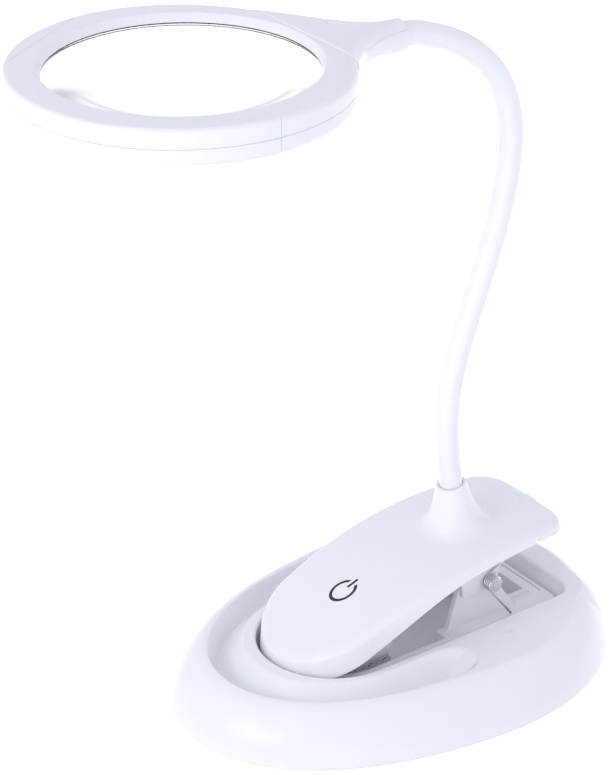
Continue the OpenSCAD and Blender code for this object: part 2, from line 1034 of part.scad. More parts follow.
// A lens with two round faces and a straight edge
module lens() {
  face_r = (lens_r * lens_r + lens_sag * lens_sag) / (2 * lens_sag);
  color([0.85, 0.93, 0.97, 0.35])
    at_head()
      intersection() {
        disc(lens_r, -20, 40);
        translate([0, 0, lens_edge_h[1] + lens_sag - face_r])
          sphere(r = face_r, $fn = 720);
        translate([0, 0, lens_edge_h[0] - lens_sag + face_r])
          sphere(r = face_r, $fn = 720);
      }
}

module lens_gasket() {
  color([0.2, 0.2, 0.22])
    at_head()
      annulus(lens_r - 1.2, lens_r + 0.1, lens_seat_z - 0.05 - gasket_t, lens_seat_z - 0.05);
}

module led_board() {
  color([0.9, 0.9, 0.88])
    at_head()
      annulus(lens_r + 0.4, diffuser_r[1] - 1, board_h, board_h + 1);
}

module leds() {
  color([1, 0.9, 0.5])
    at_head()
      for (i = [0:led_count - 1])
        rotate([0, 0, (i + 0.5) * 360 / led_count])
          translate([led_ring_r - led_size[0] / 2, -led_size[1] / 2, board_h - led_size[2]])
            cube(led_size);
}

module diffuser_ring() {
  color([0.96, 0.96, 0.94])
    at_head() {
      annulus(diffuser_r[0], diffuser_r[1], diffuser_z[0], diffuser_z[1]);
      annulus(diffuser_r[0], diffuser_r[0] + diffuser_wall_t, diffuser_z[1] - 0.05, lens_edge_h[0] - 0.45);
    }
}

module head_screws() {
  color(STEEL)
    at_head()
      for (a = head_screw_angles)
        rotate([0, 0, a])
          translate([head_screw_ring_r, 0, 0.1]) {
            cylinder(r = 0.95, h = 12);
            cylinder(r = 2, h = 0.9);
          }
}

base_top_shell();
base_bottom_plate();
base_ballast();
non_slip_pad();
base_screws();
lower_jaw();
lower_jaw_pad();
hinge_pin();
pin_clips();
torsion_springs();
clip_cover();
clip_tray();
upper_jaw_pad();
battery();
battery_leads();
control_board();
touch_electrode();
power_symbol();
charge_socket();
charge_lights();
boss_nut();
tray_screws();
neck_link_01();
neck_link_02();
neck_link_03();
neck_link_04();
neck_link_05();
neck_link_06();
neck_link_07();
neck_link_08();
neck_link_09();
neck_link_10();
neck_link_11();
neck_link_12();
head_upper_ring();
head_lower_ring();
neck_cover_upper();
neck_cover_lower();
rim_cap_left_upper();
rim_cap_left_lower();
rim_cap_right_upper();
rim_cap_right_lower();
lens();
lens_gasket();
led_board();
leds();
diffuser_ring();
neck_clamp();
head_screws();
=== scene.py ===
import json
import math

import bmesh
import bpy
import numpy as np
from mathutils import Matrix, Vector


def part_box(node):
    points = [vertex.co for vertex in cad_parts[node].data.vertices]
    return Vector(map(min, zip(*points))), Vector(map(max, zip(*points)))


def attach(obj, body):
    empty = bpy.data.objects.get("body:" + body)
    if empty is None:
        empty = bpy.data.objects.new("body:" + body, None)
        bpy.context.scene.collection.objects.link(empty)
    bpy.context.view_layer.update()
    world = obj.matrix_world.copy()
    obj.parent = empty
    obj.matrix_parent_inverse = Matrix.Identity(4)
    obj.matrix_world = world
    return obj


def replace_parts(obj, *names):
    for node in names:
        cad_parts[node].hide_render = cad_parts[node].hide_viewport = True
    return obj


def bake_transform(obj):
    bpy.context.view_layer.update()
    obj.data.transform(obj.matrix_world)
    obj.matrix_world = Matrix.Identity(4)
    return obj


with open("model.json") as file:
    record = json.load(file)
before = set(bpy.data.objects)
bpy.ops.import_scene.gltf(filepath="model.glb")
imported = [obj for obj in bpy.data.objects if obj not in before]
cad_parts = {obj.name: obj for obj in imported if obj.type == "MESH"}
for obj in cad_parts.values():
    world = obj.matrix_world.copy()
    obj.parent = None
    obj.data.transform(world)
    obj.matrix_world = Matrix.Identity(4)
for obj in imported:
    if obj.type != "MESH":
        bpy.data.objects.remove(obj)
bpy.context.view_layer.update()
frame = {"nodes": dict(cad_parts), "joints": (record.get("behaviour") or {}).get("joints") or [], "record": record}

MM = 0.001
TAU = 2 * math.pi
SHARP_ANGLE = math.radians(38)


def box_mm(node):
    """Lowest and highest corner of a CAD node, in millimetres."""
    low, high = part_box(node)
    return np.array(low) / MM, np.array(high) / MM


# ---------- mesh tools ----------

def smoothstep(x):
    x = np.clip(x, 0, 1)
    return x * x * (3 - 2 * x)


def mix(a, b, share):
    """a at share 0, b at share 1."""
    return a * (1 - share) + b * share


def signed_power(x, power):
    return np.sign(x) * np.abs(x) ** power


def soft_min(a, b, k):
    """The smaller of a and b, with the corner between them rounded over k."""
    h = np.clip(0.5 + 0.5 * (b - a) / k, 0, 1)
    return mix(b, a, h) - k * h * (1 - h)


def full_turn(count):
    """Angles all the way round."""
    return np.linspace(0, TAU, count, endpoint=False)


def quarter_turn(count):
    return np.linspace(0, math.pi / 2, count)


def circle(centre, radius, angles, z):
    """A ring about a vertical axis through centre; radius and z are numbers or one number for each angle."""
    z = np.broadcast_to(z, angles.shape)
    return np.stack([centre[0] + radius * np.cos(angles), centre[1] + radius * np.sin(angles), z], 1)


def arc(centre, radius, start, end, count):
    """Points of an arc in degrees, end left out."""
    a = np.radians(np.linspace(start, end, count, endpoint=False))
    return np.stack([centre[0] + radius * np.cos(a), centre[1] + radius * np.sin(a)], 1)


def resample(outline, count):
    """Points spaced evenly along a closed outline."""
    loop = np.vstack([outline, outline[:1]])
    length = np.concatenate([[0], np.cumsum(np.linalg.norm(np.diff(loop, axis=0), axis=1))])
    at = np.linspace(0, length[-1], count, endpoint=False)
    return np.stack([np.interp(at, length, loop[:, i]) for i in (0, 1)], 1)


def outline_normals(outline):
    """Outward unit normals of an outline that runs anticlockwise."""
    along = np.roll(outline, -1, 0) - np.roll(outline, 1, 0)
    normal = np.stack([along[:, 1], -along[:, 0]], 1)
    return normal / np.linalg.norm(normal, axis=1)[:, None]


def along_rays(outline, centre, angles):
    """Distance from centre to a star-shaped outline in each direction."""
    arm = resample(outline, 6000) - centre
    at = np.arctan2(arm[:, 1], arm[:, 0]) % TAU
    order = np.argsort(at)
    return np.interp(angles % TAU, at[order], np.linalg.norm(arm, axis=1)[order], period=TAU)


def grid_normals(rings):
    """Unit normals of a grid of rings that close on themselves."""
    around = np.roll(rings, -1, 1) - np.roll(rings, 1, 1)
    across = np.gradient(rings, axis=0)
    normal = np.cross(around, across)
    length = np.linalg.norm(normal, axis=2)
    return normal / np.maximum(length, 1e-9)[:, :, None]


def band_faces(rows, count, closed):
    """Faces between neighbouring rings of count points, and from the last ring to the first if closed."""
    around = np.arange(count)
    following = (around + 1) % count
    faces = []
    for row in range(rows if closed else rows - 1):
        a, b = row * count, (row + 1) % rows * count
        faces += np.stack([a + around, a + following, b + following, b + around], 1).tolist()
    return faces


def add_object(name, data):
    obj = bpy.data.objects.new(name, data)
    bpy.context.scene.collection.objects.link(obj)
    return obj


def make_mesh(name, points, faces):
    """A new object from points in millimetres, with its faces turned outwards and smoothed."""
    mesh = bpy.data.meshes.new(name)
    mesh.from_pydata((np.asarray(points) * MM).tolist(), [], faces)
    obj = add_object(name, mesh)
    tidy(obj)
    return obj


def tidy(obj):
    """Turns faces outwards and shades them smooth, apart from sharp edges."""
    bm = bmesh.new()
    bm.from_mesh(obj.data)
    bmesh.ops.recalc_face_normals(bm, faces=bm.faces)
    bm.to_mesh(obj.data)
    bm.free()
    obj.data.shade_smooth()
    obj.data.set_sharp_from_angle(angle=SHARP_ANGLE)


def loft(name, rings):
    """A closed solid through a stack of rings, with both ends closed at their middle."""
    rings = np.asarray(rings)
    rows, count = rings.shape[:2]
    points = np.vstack([rings.reshape(-1, 3), rings[0].mean(0), rings[-1].mean(0)])
    total, last = rows * count, (rows - 1) * count
    edges = [(i, (i + 1) % count) for i in range(count)]
    faces = band_faces(rows, count, False) + [[total, f, e] for e, f in edges]
    return make_mesh(name, points, faces + [[total + 1, last + e, last + f] for e, f in edges])


def hoop(name, rings):
    """A closed solid through rings that also close from the last back to the first."""
    rings = np.asarray(rings)
    rows, count = rings.shape[:2]
    return make_mesh(name, rings.reshape(-1, 3), band_faces(rows, count, True))


def turned(name, profile, centre, count=256):
    """A hoop turned about a vertical axis from a closed (radius, height) profile."""
    angles = full_turn(count)
    return hoop(name, [circle(centre, r, angles, centre[2] + z) for r, z in profile])


def copy_of(obj, name):
    return add_object(name, obj.data.copy())


def cut(obj, point, normal):
    """Cuts away everything on the side of a plane that normal points to, and closes the cut."""
    bm = bmesh.new()
    bm.from_mesh(obj.data)
    found = bmesh.ops.bisect_plane(bm, geom=bm.verts[:] + bm.edges[:] + bm.faces[:], dist=1e-7,
                                   plane_co=Vector(point) * MM, plane_no=Vector(normal), clear_outer=True)
    edges = [e for e in found["geom_cut"] if isinstance(e, bmesh.types.BMEdge)]
    bmesh.ops.triangle_fill(bm, use_beauty=True, use_dissolve=False, edges=edges)
    bmesh.ops.remove_doubles(bm, verts=bm.verts, dist=1e-7)
    bm.to_mesh(obj.data)
    bm.free()
    tidy(obj)
    return obj


def apply_modifiers(obj):
    """Replaces an object's mesh with the result of its modifiers."""
    bpy.context.view_layer.update()
    result = bpy.data.meshes.new_from_object(obj.evaluated_get(bpy.context.evaluated_depsgraph_get()))
    obj.modifiers.clear()
    obj.data = result
    tidy(obj)
    return obj


def subtract(obj, cutter, operation="DIFFERENCE"):
    """Cuts one solid out of another, or does another boolean operation with it."""
    step = obj.modifiers.new("cut", "BOOLEAN")
    step.operation = operation
    step.solver = "EXACT"
    step.object = cutter
    apply_modifiers(obj)
    bpy.data.objects.remove(cutter)
    return obj


def join(obj, other):
    """Fuses another solid into obj."""
    return subtract(obj, other, "UNION")


def soften(obj, width):
    """Rounds the sharp edges of a solid."""
    step = obj.modifiers.new("edges", "BEVEL")
    step.width = width * MM
    step.segments = 3
    step.limit_method = "ANGLE"
    step.angle_limit = math.radians(40)
    step.use_clamp_overlap = True
    return apply_modifiers(obj)


def block(name, low, high):
    """A box between two corners, for cutting."""
    x, y, z = zip(low, high)
    points = [(x[i], y[j], z[k]) for i in (0, 1) for j in (0, 1) for k in (0, 1)]
    faces = [[0, 1, 3, 2], [4, 6, 7, 5], [0, 4, 5, 1], [2, 3, 7, 6], [0, 2, 6, 4], [1, 5, 7, 3]]
    return make_mesh(name, points, faces)


def slab_faces(count):
    """Faces of a solid between two outlines of count points each."""
    sides = [[i, (i + 1) % count, count + (i + 1) % count, count + i] for i in range(count)]
    return sides + [list(range(count)), list(range(2 * count - 1, count - 1, -1))]


def prism_x(name, outline, low_x, high_x):
    """A solid from a (y, z) outline, between two heights along X."""
    points = [(x, y, z) for x in (low_x, high_x) for y, z in outline]
    return make_mesh(name, points, slab_faces(len(outline)))


def at_height(plan, z):
    """Points at (x, y) of plan and at height z, which is one number or one for each point."""
    return np.column_stack([plan, np.broadcast_to(z, len(plan))])


# ---------- materials ----------

DRIFT_SCALE = 22


def output_of(source):
    """A socket, or the first output that a node has in use."""
    if isinstance(source, bpy.types.NodeSocket):
        return source
    return next(socket for socket in source.outputs if socket.enabled)


def feed(source, socket):
    socket.id_data.links.new(output_of(source), socket)


def add_node(tree, kind, inputs=None, **settings):
    """A new shader node; inputs maps socket names to values, or to the nodes or sockets that feed them."""
    node = tree.nodes.new("ShaderNode" + kind)
    for key, value in settings.items():
        setattr(node, key, value)
    for key, value in (inputs or {}).items():
        if isinstance(value, (bpy.types.Node, bpy.types.NodeSocket)):
            feed(value, node.inputs[key])
        else:
            node.inputs[key].default_value = value
    return node


def node_material(name, colour, roughness, grain=0.0, grain_size=0.6, edge=0.0, speckle=0.02, **extra):
    """A procedural finish: tone and gloss that drift a little, a fine grain and softened edges.
    grain is the depth of the grain and grain_size its width, both in millimetres, as is edge."""
    material = bpy.data.materials.new(name)
    material.use_nodes = True
    tree = material.node_tree
    shader = tree.nodes["Principled BSDF"]
    place = add_node(tree, "TexCoord").outputs["Object"]

    drift = add_node(tree, "TexNoise", {"Scale": DRIFT_SCALE, "Detail": 3, "Vector": place})
    dark = [c * (1 - speckle) for c in colour] + [1]
    light = [min(1.0, c * (1 + speckle)) for c in colour] + [1]
    tone = add_node(tree, "Mix", {"A": dark, "B": light, "Factor": drift}, data_type="RGBA")
    feed(tone, shader.inputs["Base Color"])
    gloss = add_node(tree, "MapRange", {"To Min": roughness * (1 - 4 * speckle), "Value": drift,
                                        "To Max": min(1.0, roughness * (1 + 4 * speckle))})
    feed(gloss, shader.inputs["Roughness"])

    normal = add_node(tree, "Bevel", {"Radius": edge * MM}, samples=4) if edge else None
    if grain:
        fine = add_node(tree, "TexNoise", {"Scale": 1 / (grain_size * MM), "Detail": 2, "Vector": place})
        bump = add_node(tree, "Bump", {"Distance": grain * MM, "Height": fine})
        if normal:
            feed(normal, bump.inputs["Normal"])
        normal = bump
    if normal:
        feed(normal, shader.inputs["Normal"])
    for label, value in extra.items():
        shader.inputs[label.replace("_", " ")].default_value = value
    return material


# Colour, roughness and the rest of each finish
LOOKS = {
    "white_shell": ([0.90, 0.90, 0.93], 0.27, dict(grain=0.004, speckle=0.006, Specular_IOR_Level=0.45,
                                                   Subsurface_Weight=0.08, Subsurface_Scale=0.003)),
    "white_hidden": ([0.86, 0.86, 0.90], 0.42, dict(grain=0.01, edge=0.3, speckle=0.015)),
    "sleeve": ([0.90, 0.90, 0.93], 0.38, dict(grain=0.01, grain_size=0.4, speckle=0.012, Sheen_Weight=0.15,
                                              Subsurface_Weight=0.1, Subsurface_Scale=0.003)),
    "steel": ([0.60, 0.60, 0.63], 0.24, dict(grain=0.01, grain_size=0.3, edge=0.15, speckle=0.1,
                                             Metallic=1.0)),
    "pad_rubber": ([0.62, 0.62, 0.66], 0.75, dict(grain=0.05, grain_size=0.5, edge=0.2, speckle=0.15)),
    "seal_black": ([0.02, 0.02, 0.03], 0.7, dict(grain=0.02, speckle=0.1)),
    "black_print": ([0.012, 0.012, 0.014], 0.4, dict(grain=0.004, speckle=0.2)),
    "cell": ([0.40, 0.43, 0.48], 0.35, dict(grain=0.02, grain_size=1.5, edge=0.3, Metallic=0.7)),
    "lead": ([0.45, 0.03, 0.03], 0.45, dict(grain=0.01, grain_size=0.3)),
    "board": ([0.03, 0.16, 0.07], 0.4, dict(grain=0.02, grain_size=0.8, speckle=0.12)),
    "board_white": ([0.80, 0.80, 0.78], 0.45, dict(grain=0.01, grain_size=0.8)),
    "copper": ([0.75, 0.38, 0.22], 0.3, dict(grain=0.01, speckle=0.1, Metallic=1.0)),
    "diode": ([0.85, 0.66, 0.16], 0.3, dict(grain=0.01, edge=0.1, speckle=0.08)),
    "light_pipe": ([0.95, 0.95, 0.98], 0.3, dict(grain=0.004, Subsurface_Weight=0.3, Subsurface_Scale=0.003)),
    # Painted light: the diffuser's emission colour feeds a faint glow that stands in for brightness; it lights
    # nothing.
    "diffuser": ([0.93, 0.93, 0.93], 0.5, dict(grain=0.02, grain_size=0.7, Emission_Color=(1, 1, 1, 1),
                                               Subsurface_Weight=0.3, Subsurface_Scale=0.004)),
    # The lens glass also gets a painted reflection further down: a pale glow with painted grey shade.
    "lens_glass": ([0.975, 0.985, 0.99], 0.012, dict(speckle=0.004, Transmission_Weight=1.0, IOR=1.49)),
    # Painted light: the lens edge's emission colour feeds a glow that stands in for light the ground edge catches;
    # it lights nothing.
    "lens_edge": ([0.93, 0.93, 0.96], 0.6, dict(grain=0.02, grain_size=0.4,
                                                Emission_Color=(0.97, 0.97, 1.0, 1))),
}
FINISHES = {name: node_material(name, colour, rough, **more) for name, (colour, rough, more) in LOOKS.items()}


def glow_unless_diffuse(material, strength):
    """Makes a material glow for the camera, mirrors and glass, without lighting what stands near it."""
    tree = material.node_tree
    diffuse = add_node(tree, "LightPath").outputs["Is Diffuse Ray"]
    glow = add_node(tree, "Math", {0: diffuse, 1: -strength, 2: strength}, operation="MULTIPLY_ADD")
    feed(glow, tree.nodes["Principled BSDF"].inputs["Emission Strength"])


slot_of = {part["node"]: part["material_slot"] for part in frame["record"]["subparts"]}


def finish(obj, slot):
    """Gives a piece the finish of one of the record's material slots."""
    obj.data.materials.clear()
    obj.data.materials.append(FINISHES[slot])
    return obj


def stands_for(obj, body, *nodes):
    """Finishes a piece like the CAD nodes that it replaces, and rides it on their body."""
    finish(obj, slot_of[nodes[0]])
    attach(obj, body)
    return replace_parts(obj, *nodes)


# ---------- base ----------

EGG_TAPER = 0.15
EGG_POWER = {"front": 2.3, "rear": 1.97}
CRADLE_HW = 35.6
CRADLE_MID_Y = -33.0
CRADLE_FLOOR_Z = 8.0
CRADLE_REAR_Y = {"rim": 83.0, "floor": 77.0}
CRADLE_CORNER_R = 9.0
RIDGE_HW = 39.3
RIDGE_NOSE = 42.2
CRADLE_LIP_R = 1.7
CRADLE_FOOT_R = 2.0
TROUGH = {"length": 92.0, "width": 60.5, "mid_y": -2.0, "power": 2.04, "depth": 12.0, "end_y": 9.5,
          "end_length": 13.0}
# How wide the slopes of the trough are
SLOPE_W = {"outer": 4.0, "inner": 15.0, "end": 17.0}
DIMPLE = {"x": 45.0, "y": 36.0, "radius": 3.0, "depth": 0.9}
# How far the rounding between side and top reaches inwards: at most, and as a share of the top behind
SHOULDER_W = {"front": 19.0, "rear": 17.0, "rear_share": 0.62}
SHOULDER_FADE_Y = 60.0
WALL_POWER = 1.35
BASE_SKIN = 1.5
BASE_MIDDLE = np.array([0.0, 2.0])
RAYS = 320


def egg_outline(low, high):
    """The base's outline on the table, wider behind."""
    t = full_turn(4000)
    power = 2 / np.where(np.cos(t) < 0, EGG_POWER["front"], EGG_POWER["rear"])
    along = signed_power(np.cos(t), power)
    across = signed_power(np.sin(t), power) * (1 + EGG_TAPER * along)
    return np.stack([high[0] * across / across.max(), high[1] * along], 1)


def cradle_outline(grow, rear_y):
    """Round nose, parallel sides and a square rear with round corners, anticlockwise."""
    half, corner = CRADLE_HW + grow, CRADLE_CORNER_R
    return np.vstack([
        arc((0, CRADLE_MID_Y), half, -180, 0, 200),
        arc((half - corner, rear_y - corner), corner, 0, 90, 40),
        arc((corner - half, rear_y - corner), corner, 90, 180, 40)])


def trough_drop(x, y):
    """How far the top of the base dips at x, y: a crescent, steep outside and gentle inside."""
    x = np.abs(x)
    length, width, power = TROUGH["length"], TROUGH["width"], TROUGH["power"]
    v = np.abs(y - TROUGH["mid_y"]) / length
    outer_x = width * np.maximum(0, 1 - v ** power) ** (1 / power)
    u = x / width
    f = np.maximum(u ** power + v ** power, 1e-6) ** (1 / power)
    slope_x = (np.maximum(u, 1e-3) / f) ** (power - 1) / width
    slope_y = (np.maximum(v, 1e-3) / f) ** (power - 1) / length
    from_outer = (1 - f) / np.hypot(slope_x, slope_y)

    front = y < CRADLE_MID_Y
    g = np.hypot(x / RIDGE_HW, (y - CRADLE_MID_Y) / RIDGE_NOSE)
    steep = np.hypot(x / RIDGE_HW ** 2, (y - CRADLE_MID_Y) / RIDGE_NOSE ** 2) / np.maximum(g, 1e-3)
    from_ridge = np.where(front, (g - 1) / np.maximum(steep, 1e-4), x - RIDGE_HW)

    end_start = TROUGH["end_y"] - TROUGH["end_length"]
    reach = np.clip((y - end_start) / TROUGH["end_length"], 0, 1)
    share = np.sqrt(1 - reach ** 2)
    middle = (outer_x + RIDGE_HW) / 2
    half = (outer_x - RIDGE_HW) / 2 * share
    arm = y > end_start
    from_outer = np.where(arm, middle + half - x, from_outer)
    from_ridge = np.where(arm, x - (middle - half), from_ridge)
    from_end = TROUGH["end_y"] - y

    depth = TROUGH["depth"]
    outer_wall = depth * smoothstep(np.clip(from_outer / SLOPE_W["outer"], 0, 1) ** 0.7)
    inside = np.maximum(from_ridge, 0)
    inner_slope = depth * (1 - np.clip(1 - inside ** 2 / (inside + 1.5) / SLOPE_W["inner"], 0, 1) ** 1.9)
    end_slope = depth * smoothstep(np.clip(from_end / SLOPE_W["end"], 0, 1) ** 0.8)
    drop = soft_min(soft_min(outer_wall, inner_slope, 2.0), end_slope, 1.5)
    return np.where((from_outer > 0) & (from_ridge > 0) & (from_end > 0), np.maximum(drop, 0), 0)


def dimple_drop(x, y):
    """A small round dent on each shoulder of the base."""
    away = np.hypot(np.abs(x) - DIMPLE["x"], y - DIMPLE["y"])
    return DIMPLE["depth"] * np.clip(1 - (away / DIMPLE["radius"]) ** 2, 0, 1) ** 1.5


def base_shell():
    """The base's top shell: side, rounded shoulder, top with its trough, and the cradle for the clip."""
    low, high = box_mm("base_top_shell")
    top, bottom = high[2], low[2]
    centre, lip, foot = BASE_MIDDLE, CRADLE_LIP_R, CRADLE_FOOT_R
    edge = cradle_outline(0, CRADLE_REAR_Y["rim"])
    rim = resample(edge, RAYS)
    angles = np.unwrap(np.arctan2(rim[:, 1] - centre[1], rim[:, 0] - centre[0]))
    rays = np.stack([np.cos(angles), np.sin(angles)], 1)
    egg = along_rays(egg_outline(low, high), centre, angles)
    cradle = along_rays(edge, centre, angles)
    floor = along_rays(cradle_outline(-0.8, CRADLE_REAR_Y["floor"]), centre, angles)

    v = full_turn(2000)
    p = 2 / TROUGH["power"]
    oval = np.stack([TROUGH["width"] * signed_power(np.cos(v), p),
                     TROUGH["mid_y"] + TROUGH["length"] * signed_power(np.sin(v), p)], 1)
    front_w = np.minimum(SHOULDER_W["front"], egg - along_rays(oval, centre, angles) - 0.6)
    rear_w = np.minimum(SHOULDER_W["rear"], (egg - cradle) * SHOULDER_W["rear_share"])
    rear = smoothstep(rays[:, 1] * egg / SHOULDER_FADE_Y)
    shoulder = mix(front_w, rear_w, rear)

    def ring(radius, z):
        return at_height(centre + rays * radius[:, None], z)

    rings = [ring(egg - 0.9, bottom), ring(egg - 0.25, bottom + 0.25)]
    for turn in quarter_turn(18):
        inset = shoulder * (1 - math.cos(turn) ** WALL_POWER)
        rings.append(ring(egg - inset, bottom + 0.9 + (top - bottom - 0.9) * math.sin(turn) ** WALL_POWER))
    for share in np.linspace(0, 1, 56)[1:]:
        flat = ring(mix(egg - shoulder, cradle + lip, share), top)
        x, y = flat[:, :2].T
        flat[:, 2] -= trough_drop(x, y) + dimple_drop(x, y)
        rings.append(flat)
    for turn in quarter_turn(7)[1:]:
        rings.append(ring(cradle + lip * (1 - math.sin(turn)), top - lip * (1 - math.cos(turn))))
    for share in np.linspace(0, 1, 8)[1:]:
        rings.append(ring(mix(cradle, floor, share), mix(top - lip, CRADLE_FLOOR_Z + foot, share)))
    for turn in quarter_turn(6)[1:]:
        rings.append(ring(floor - foot * (1 - math.cos(turn)), CRADLE_FLOOR_Z + foot * (1 - math.sin(turn))))
    for share in (0.8, 0.6, 0.4, 0.2, 0.05):
        rings.append(ring((floor - foot) * share, CRADLE_FLOOR_Z))
    outer = np.array(rings)
    normal = grid_normals(outer)
    on_top = normal[30, :, 2]
    normal *= np.sign(on_top.mean())
    inner = outer - normal * BASE_SKIN
    inner[0, :, 2] = bottom
    return loft("base_shell", np.concatenate([inner[::-1], outer]))


# ---------- clip ----------

NOSE_R = 33.5
COVER_HW = 36.0
SIDE_R = 420.0
SIDE_MID_Y = 16.0
TAIL_CORNER_R = 17.0
CROWN_R = 255.0
CROWN_DROP = 1.0
CROWN_Y = 58.8
SIDE_H = {"rear": 4.6, "front": 13.4}
SIDE_Y = {"rear": 25.0, "front": -45.0}
NOSE_UNDER_Z = 20.5
BOSS_RIM_R = 7.2
BOSS_FOOT_R = 21.0
BORE_R = 5.6
NECK_LEAN = math.radians(9)
SKIN = 2.2
COVER_POINTS = 300
# The cover's rounded edge: how far it stands in from the outline, and its width and height
EDGE_IN, EDGE_W, EDGE_H = 0.7, 5.4, 2.6
NOTCH = {"x": (31, 40), "y": (60.5, 63.3), "low": 50, "edge_y": 62.0, "height": 1.0}

cover_low, cover_high = box_mm("clip_cover")
NOSE_Y = cover_low[1]
TAIL_Y = cover_high[1]
CROWN_TOP_Z = 62.5
BOSS_TOP = np.array([0.0, 35.5, 84.0])
boss_h = BOSS_TOP[2] - CROWN_TOP_Z + 0.8
BOSS_FOOT = np.array([0.0, BOSS_TOP[1] + boss_h * math.tan(NECK_LEAN), BOSS_TOP[2] - boss_h])


def crown_z(x, y):
    """Height of the cover's top, arched from front to rear and a little from side to side."""
    arch = CROWN_TOP_Z - CROWN_R + np.sqrt(CROWN_R ** 2 - (y - CROWN_Y) ** 2)
    return arch - CROWN_DROP * (x / COVER_HW) ** 2


def under_z(y):
    """Height of the cover's lower edge: close under its top at the tail, deeper at the nose."""
    share = smoothstep((SIDE_Y["rear"] - y) / (SIDE_Y["rear"] - SIDE_Y["front"]))
    arch = crown_z(0, y) - SIDE_H["rear"] - (SIDE_H["front"] - SIDE_H["rear"]) * share
    return -soft_min(-arch, np.full_like(arch, -NOSE_UNDER_Z), 4.0)


def side_x(y):
    return COVER_HW - SIDE_R + np.sqrt(SIDE_R ** 2 - (y - SIDE_MID_Y) ** 2)


def paddle_outline():
    """The cover from above, anticlockwise from the middle of its nose."""
    y = np.linspace(NOSE_Y + NOSE_R, TAIL_Y - TAIL_CORNER_R, 200)
    side = np.stack([side_x(y), y], 1)
    nose = arc((0, NOSE_Y + NOSE_R), 1, -90, 0, 120)
    nose = np.stack([nose[:, 0] * side[0, 0], NOSE_Y + NOSE_R + (nose[:, 1] - NOSE_Y - NOSE_R) * NOSE_R], 1)
    corner = arc((side[-1, 0] - TAIL_CORNER_R, TAIL_Y - TAIL_CORNER_R), TAIL_CORNER_R, 0, 91, 60)
    right = np.vstack([nose, side, corner])
    left = right[::-1] * [-1, 1]
    return resample(np.vstack([right, left[:-1]]), COVER_POINTS)


def boss_ring(angles, radius, height):
    """A ring round the boss at a height above its foot, tilted with the neck as it rises."""
    share = max(height, 0) / boss_h
    y_mid = BOSS_FOOT[1] - height * math.tan(NECK_LEAN)
    x = radius * np.cos(angles)
    y = y_mid + radius * np.sin(angles)
    ground = mix(crown_z(x, y), BOSS_FOOT[2], share)
    z = ground + height + (y - y_mid) * math.tan(NECK_LEAN) * share
    return np.stack([x, y, z], 1)


def clip_cover():
    """The clip's cover with the boss for the neck, hollow below, with a notch and a mouth for the port."""
    outline = paddle_outline()
    normal = outline_normals(outline)

    def inset_ring(inset, height):
        plan = outline - normal * inset
        return at_height(plan, height(*plan.T))

    def edge_z(x, y):
        return under_z(y)

    start = inset_ring(EDGE_IN + EDGE_W, crown_z)
    angles = np.arctan2(start[:, 1] - BOSS_FOOT[1], start[:, 0])
    rings = [boss_ring(angles, radius, boss_h - drop) for radius, drop in (
        (BORE_R, 6.0), (BORE_R, 0.5), (BORE_R + 0.12, 0.15), (BORE_R + 0.4, 0.0),
        (BOSS_RIM_R - 0.4, 0.0), (BOSS_RIM_R - 0.1, 0.12))]
    for share in np.linspace(0, 1, 26) ** 1.5:
        rings.append(boss_ring(angles, BOSS_RIM_R + (BOSS_FOOT_R - BOSS_RIM_R) * share,
                               (boss_h - 0.4) * (1 - share) ** 2.9))
    foot = rings[-1]
    for share in np.linspace(0, 1, 34)[1:]:
        plan = mix(foot, start, share)[:, :2]
        rings.append(at_height(plan, crown_z(*plan.T)))
    for turn in quarter_turn(11)[1:]:
        inset = EDGE_IN + EDGE_W * (1 - math.sin(turn) ** 0.9)
        fall = EDGE_H * (1 - math.cos(turn) ** 0.9)
        rings.append(inset_ring(inset, lambda x, y: crown_z(x, y) - fall))
    edge = inset_ring(0.0, edge_z)
    shoulder = rings[-1]
    rings += [mix(shoulder, edge, share) for share in (0.3, 0.6, 0.85, 0.97)]
    rings += [inset_ring(0.3, edge_z), inset_ring(SKIN, edge_z),
              inset_ring(SKIN + 1.0, lambda x, y: crown_z(x, y) - SKIN - 0.9),
              inset_ring(SKIN + EDGE_W, lambda x, y: crown_z(x, y) - SKIN),
              boss_ring(angles, 12.0, -SKIN - 0.4), boss_ring(angles, BORE_R, -SKIN - 0.4)]
    cover = hoop("clip_cover_shell", rings)

    notch_top = float(under_z(np.array(NOTCH["edge_y"]))) + NOTCH["height"]
    subtract(cover, block("notch", *zip(NOTCH["x"], NOTCH["y"], (NOTCH["low"], notch_top))))
    subtract(cover, block("port", (-PORT_HW - 0.1, TAIL_Y - PORT_DEPTH - 0.2, PORT_Z[0] - 0.1),
                          (PORT_HW + 0.1, TAIL_Y + 2, PORT_Z[1] + 0.1)))
    return cover


INLAY_DEPTH = 0.6


def inlay(name, plan, proud=0.04):
    """A thin solid let into the cover's top; plan is a closed outline from above."""
    top = at_height(plan, crown_z(*plan.T) + proud)
    return make_mesh(name, np.vstack([top, top - [0, 0, INLAY_DEPTH]]), slab_faces(len(plan)))


pin_low, pin_high = box_mm("hinge_pin")
PIN = (pin_low + pin_high) / 2
TUB_HW = 21.0
TUB_Y = (-50.0, -14.0)
TUB_UNDER_Z = 19.6
TUB_LEVELS = 8
LUG_X = (23.9, 25.7)
INNER_LUG_X = (16.3, 19.3)
# Side views of the lugs, (y, z)
LUG = [(22.0, 54.0), (23.6, 38.2), (24.6, 37.2), (29.0, 36.6), (33.5, 36.8), (37.5, 38.0), (41.0, 39.2),
       (44.0, 41.5), (45.6, 45.0), (46.5, 58.0)]
INNER_LUG = [(32.0, 57.5), (34.0, 40.5), (35.5, 38.2), (39.0, 37.0), (42.5, 38.2), (44.0, 40.5), (46.0, 57.5)]
TRAY_MIDDLE = np.array([0.0, 10.0])
TRAY_BELLY = 3.4
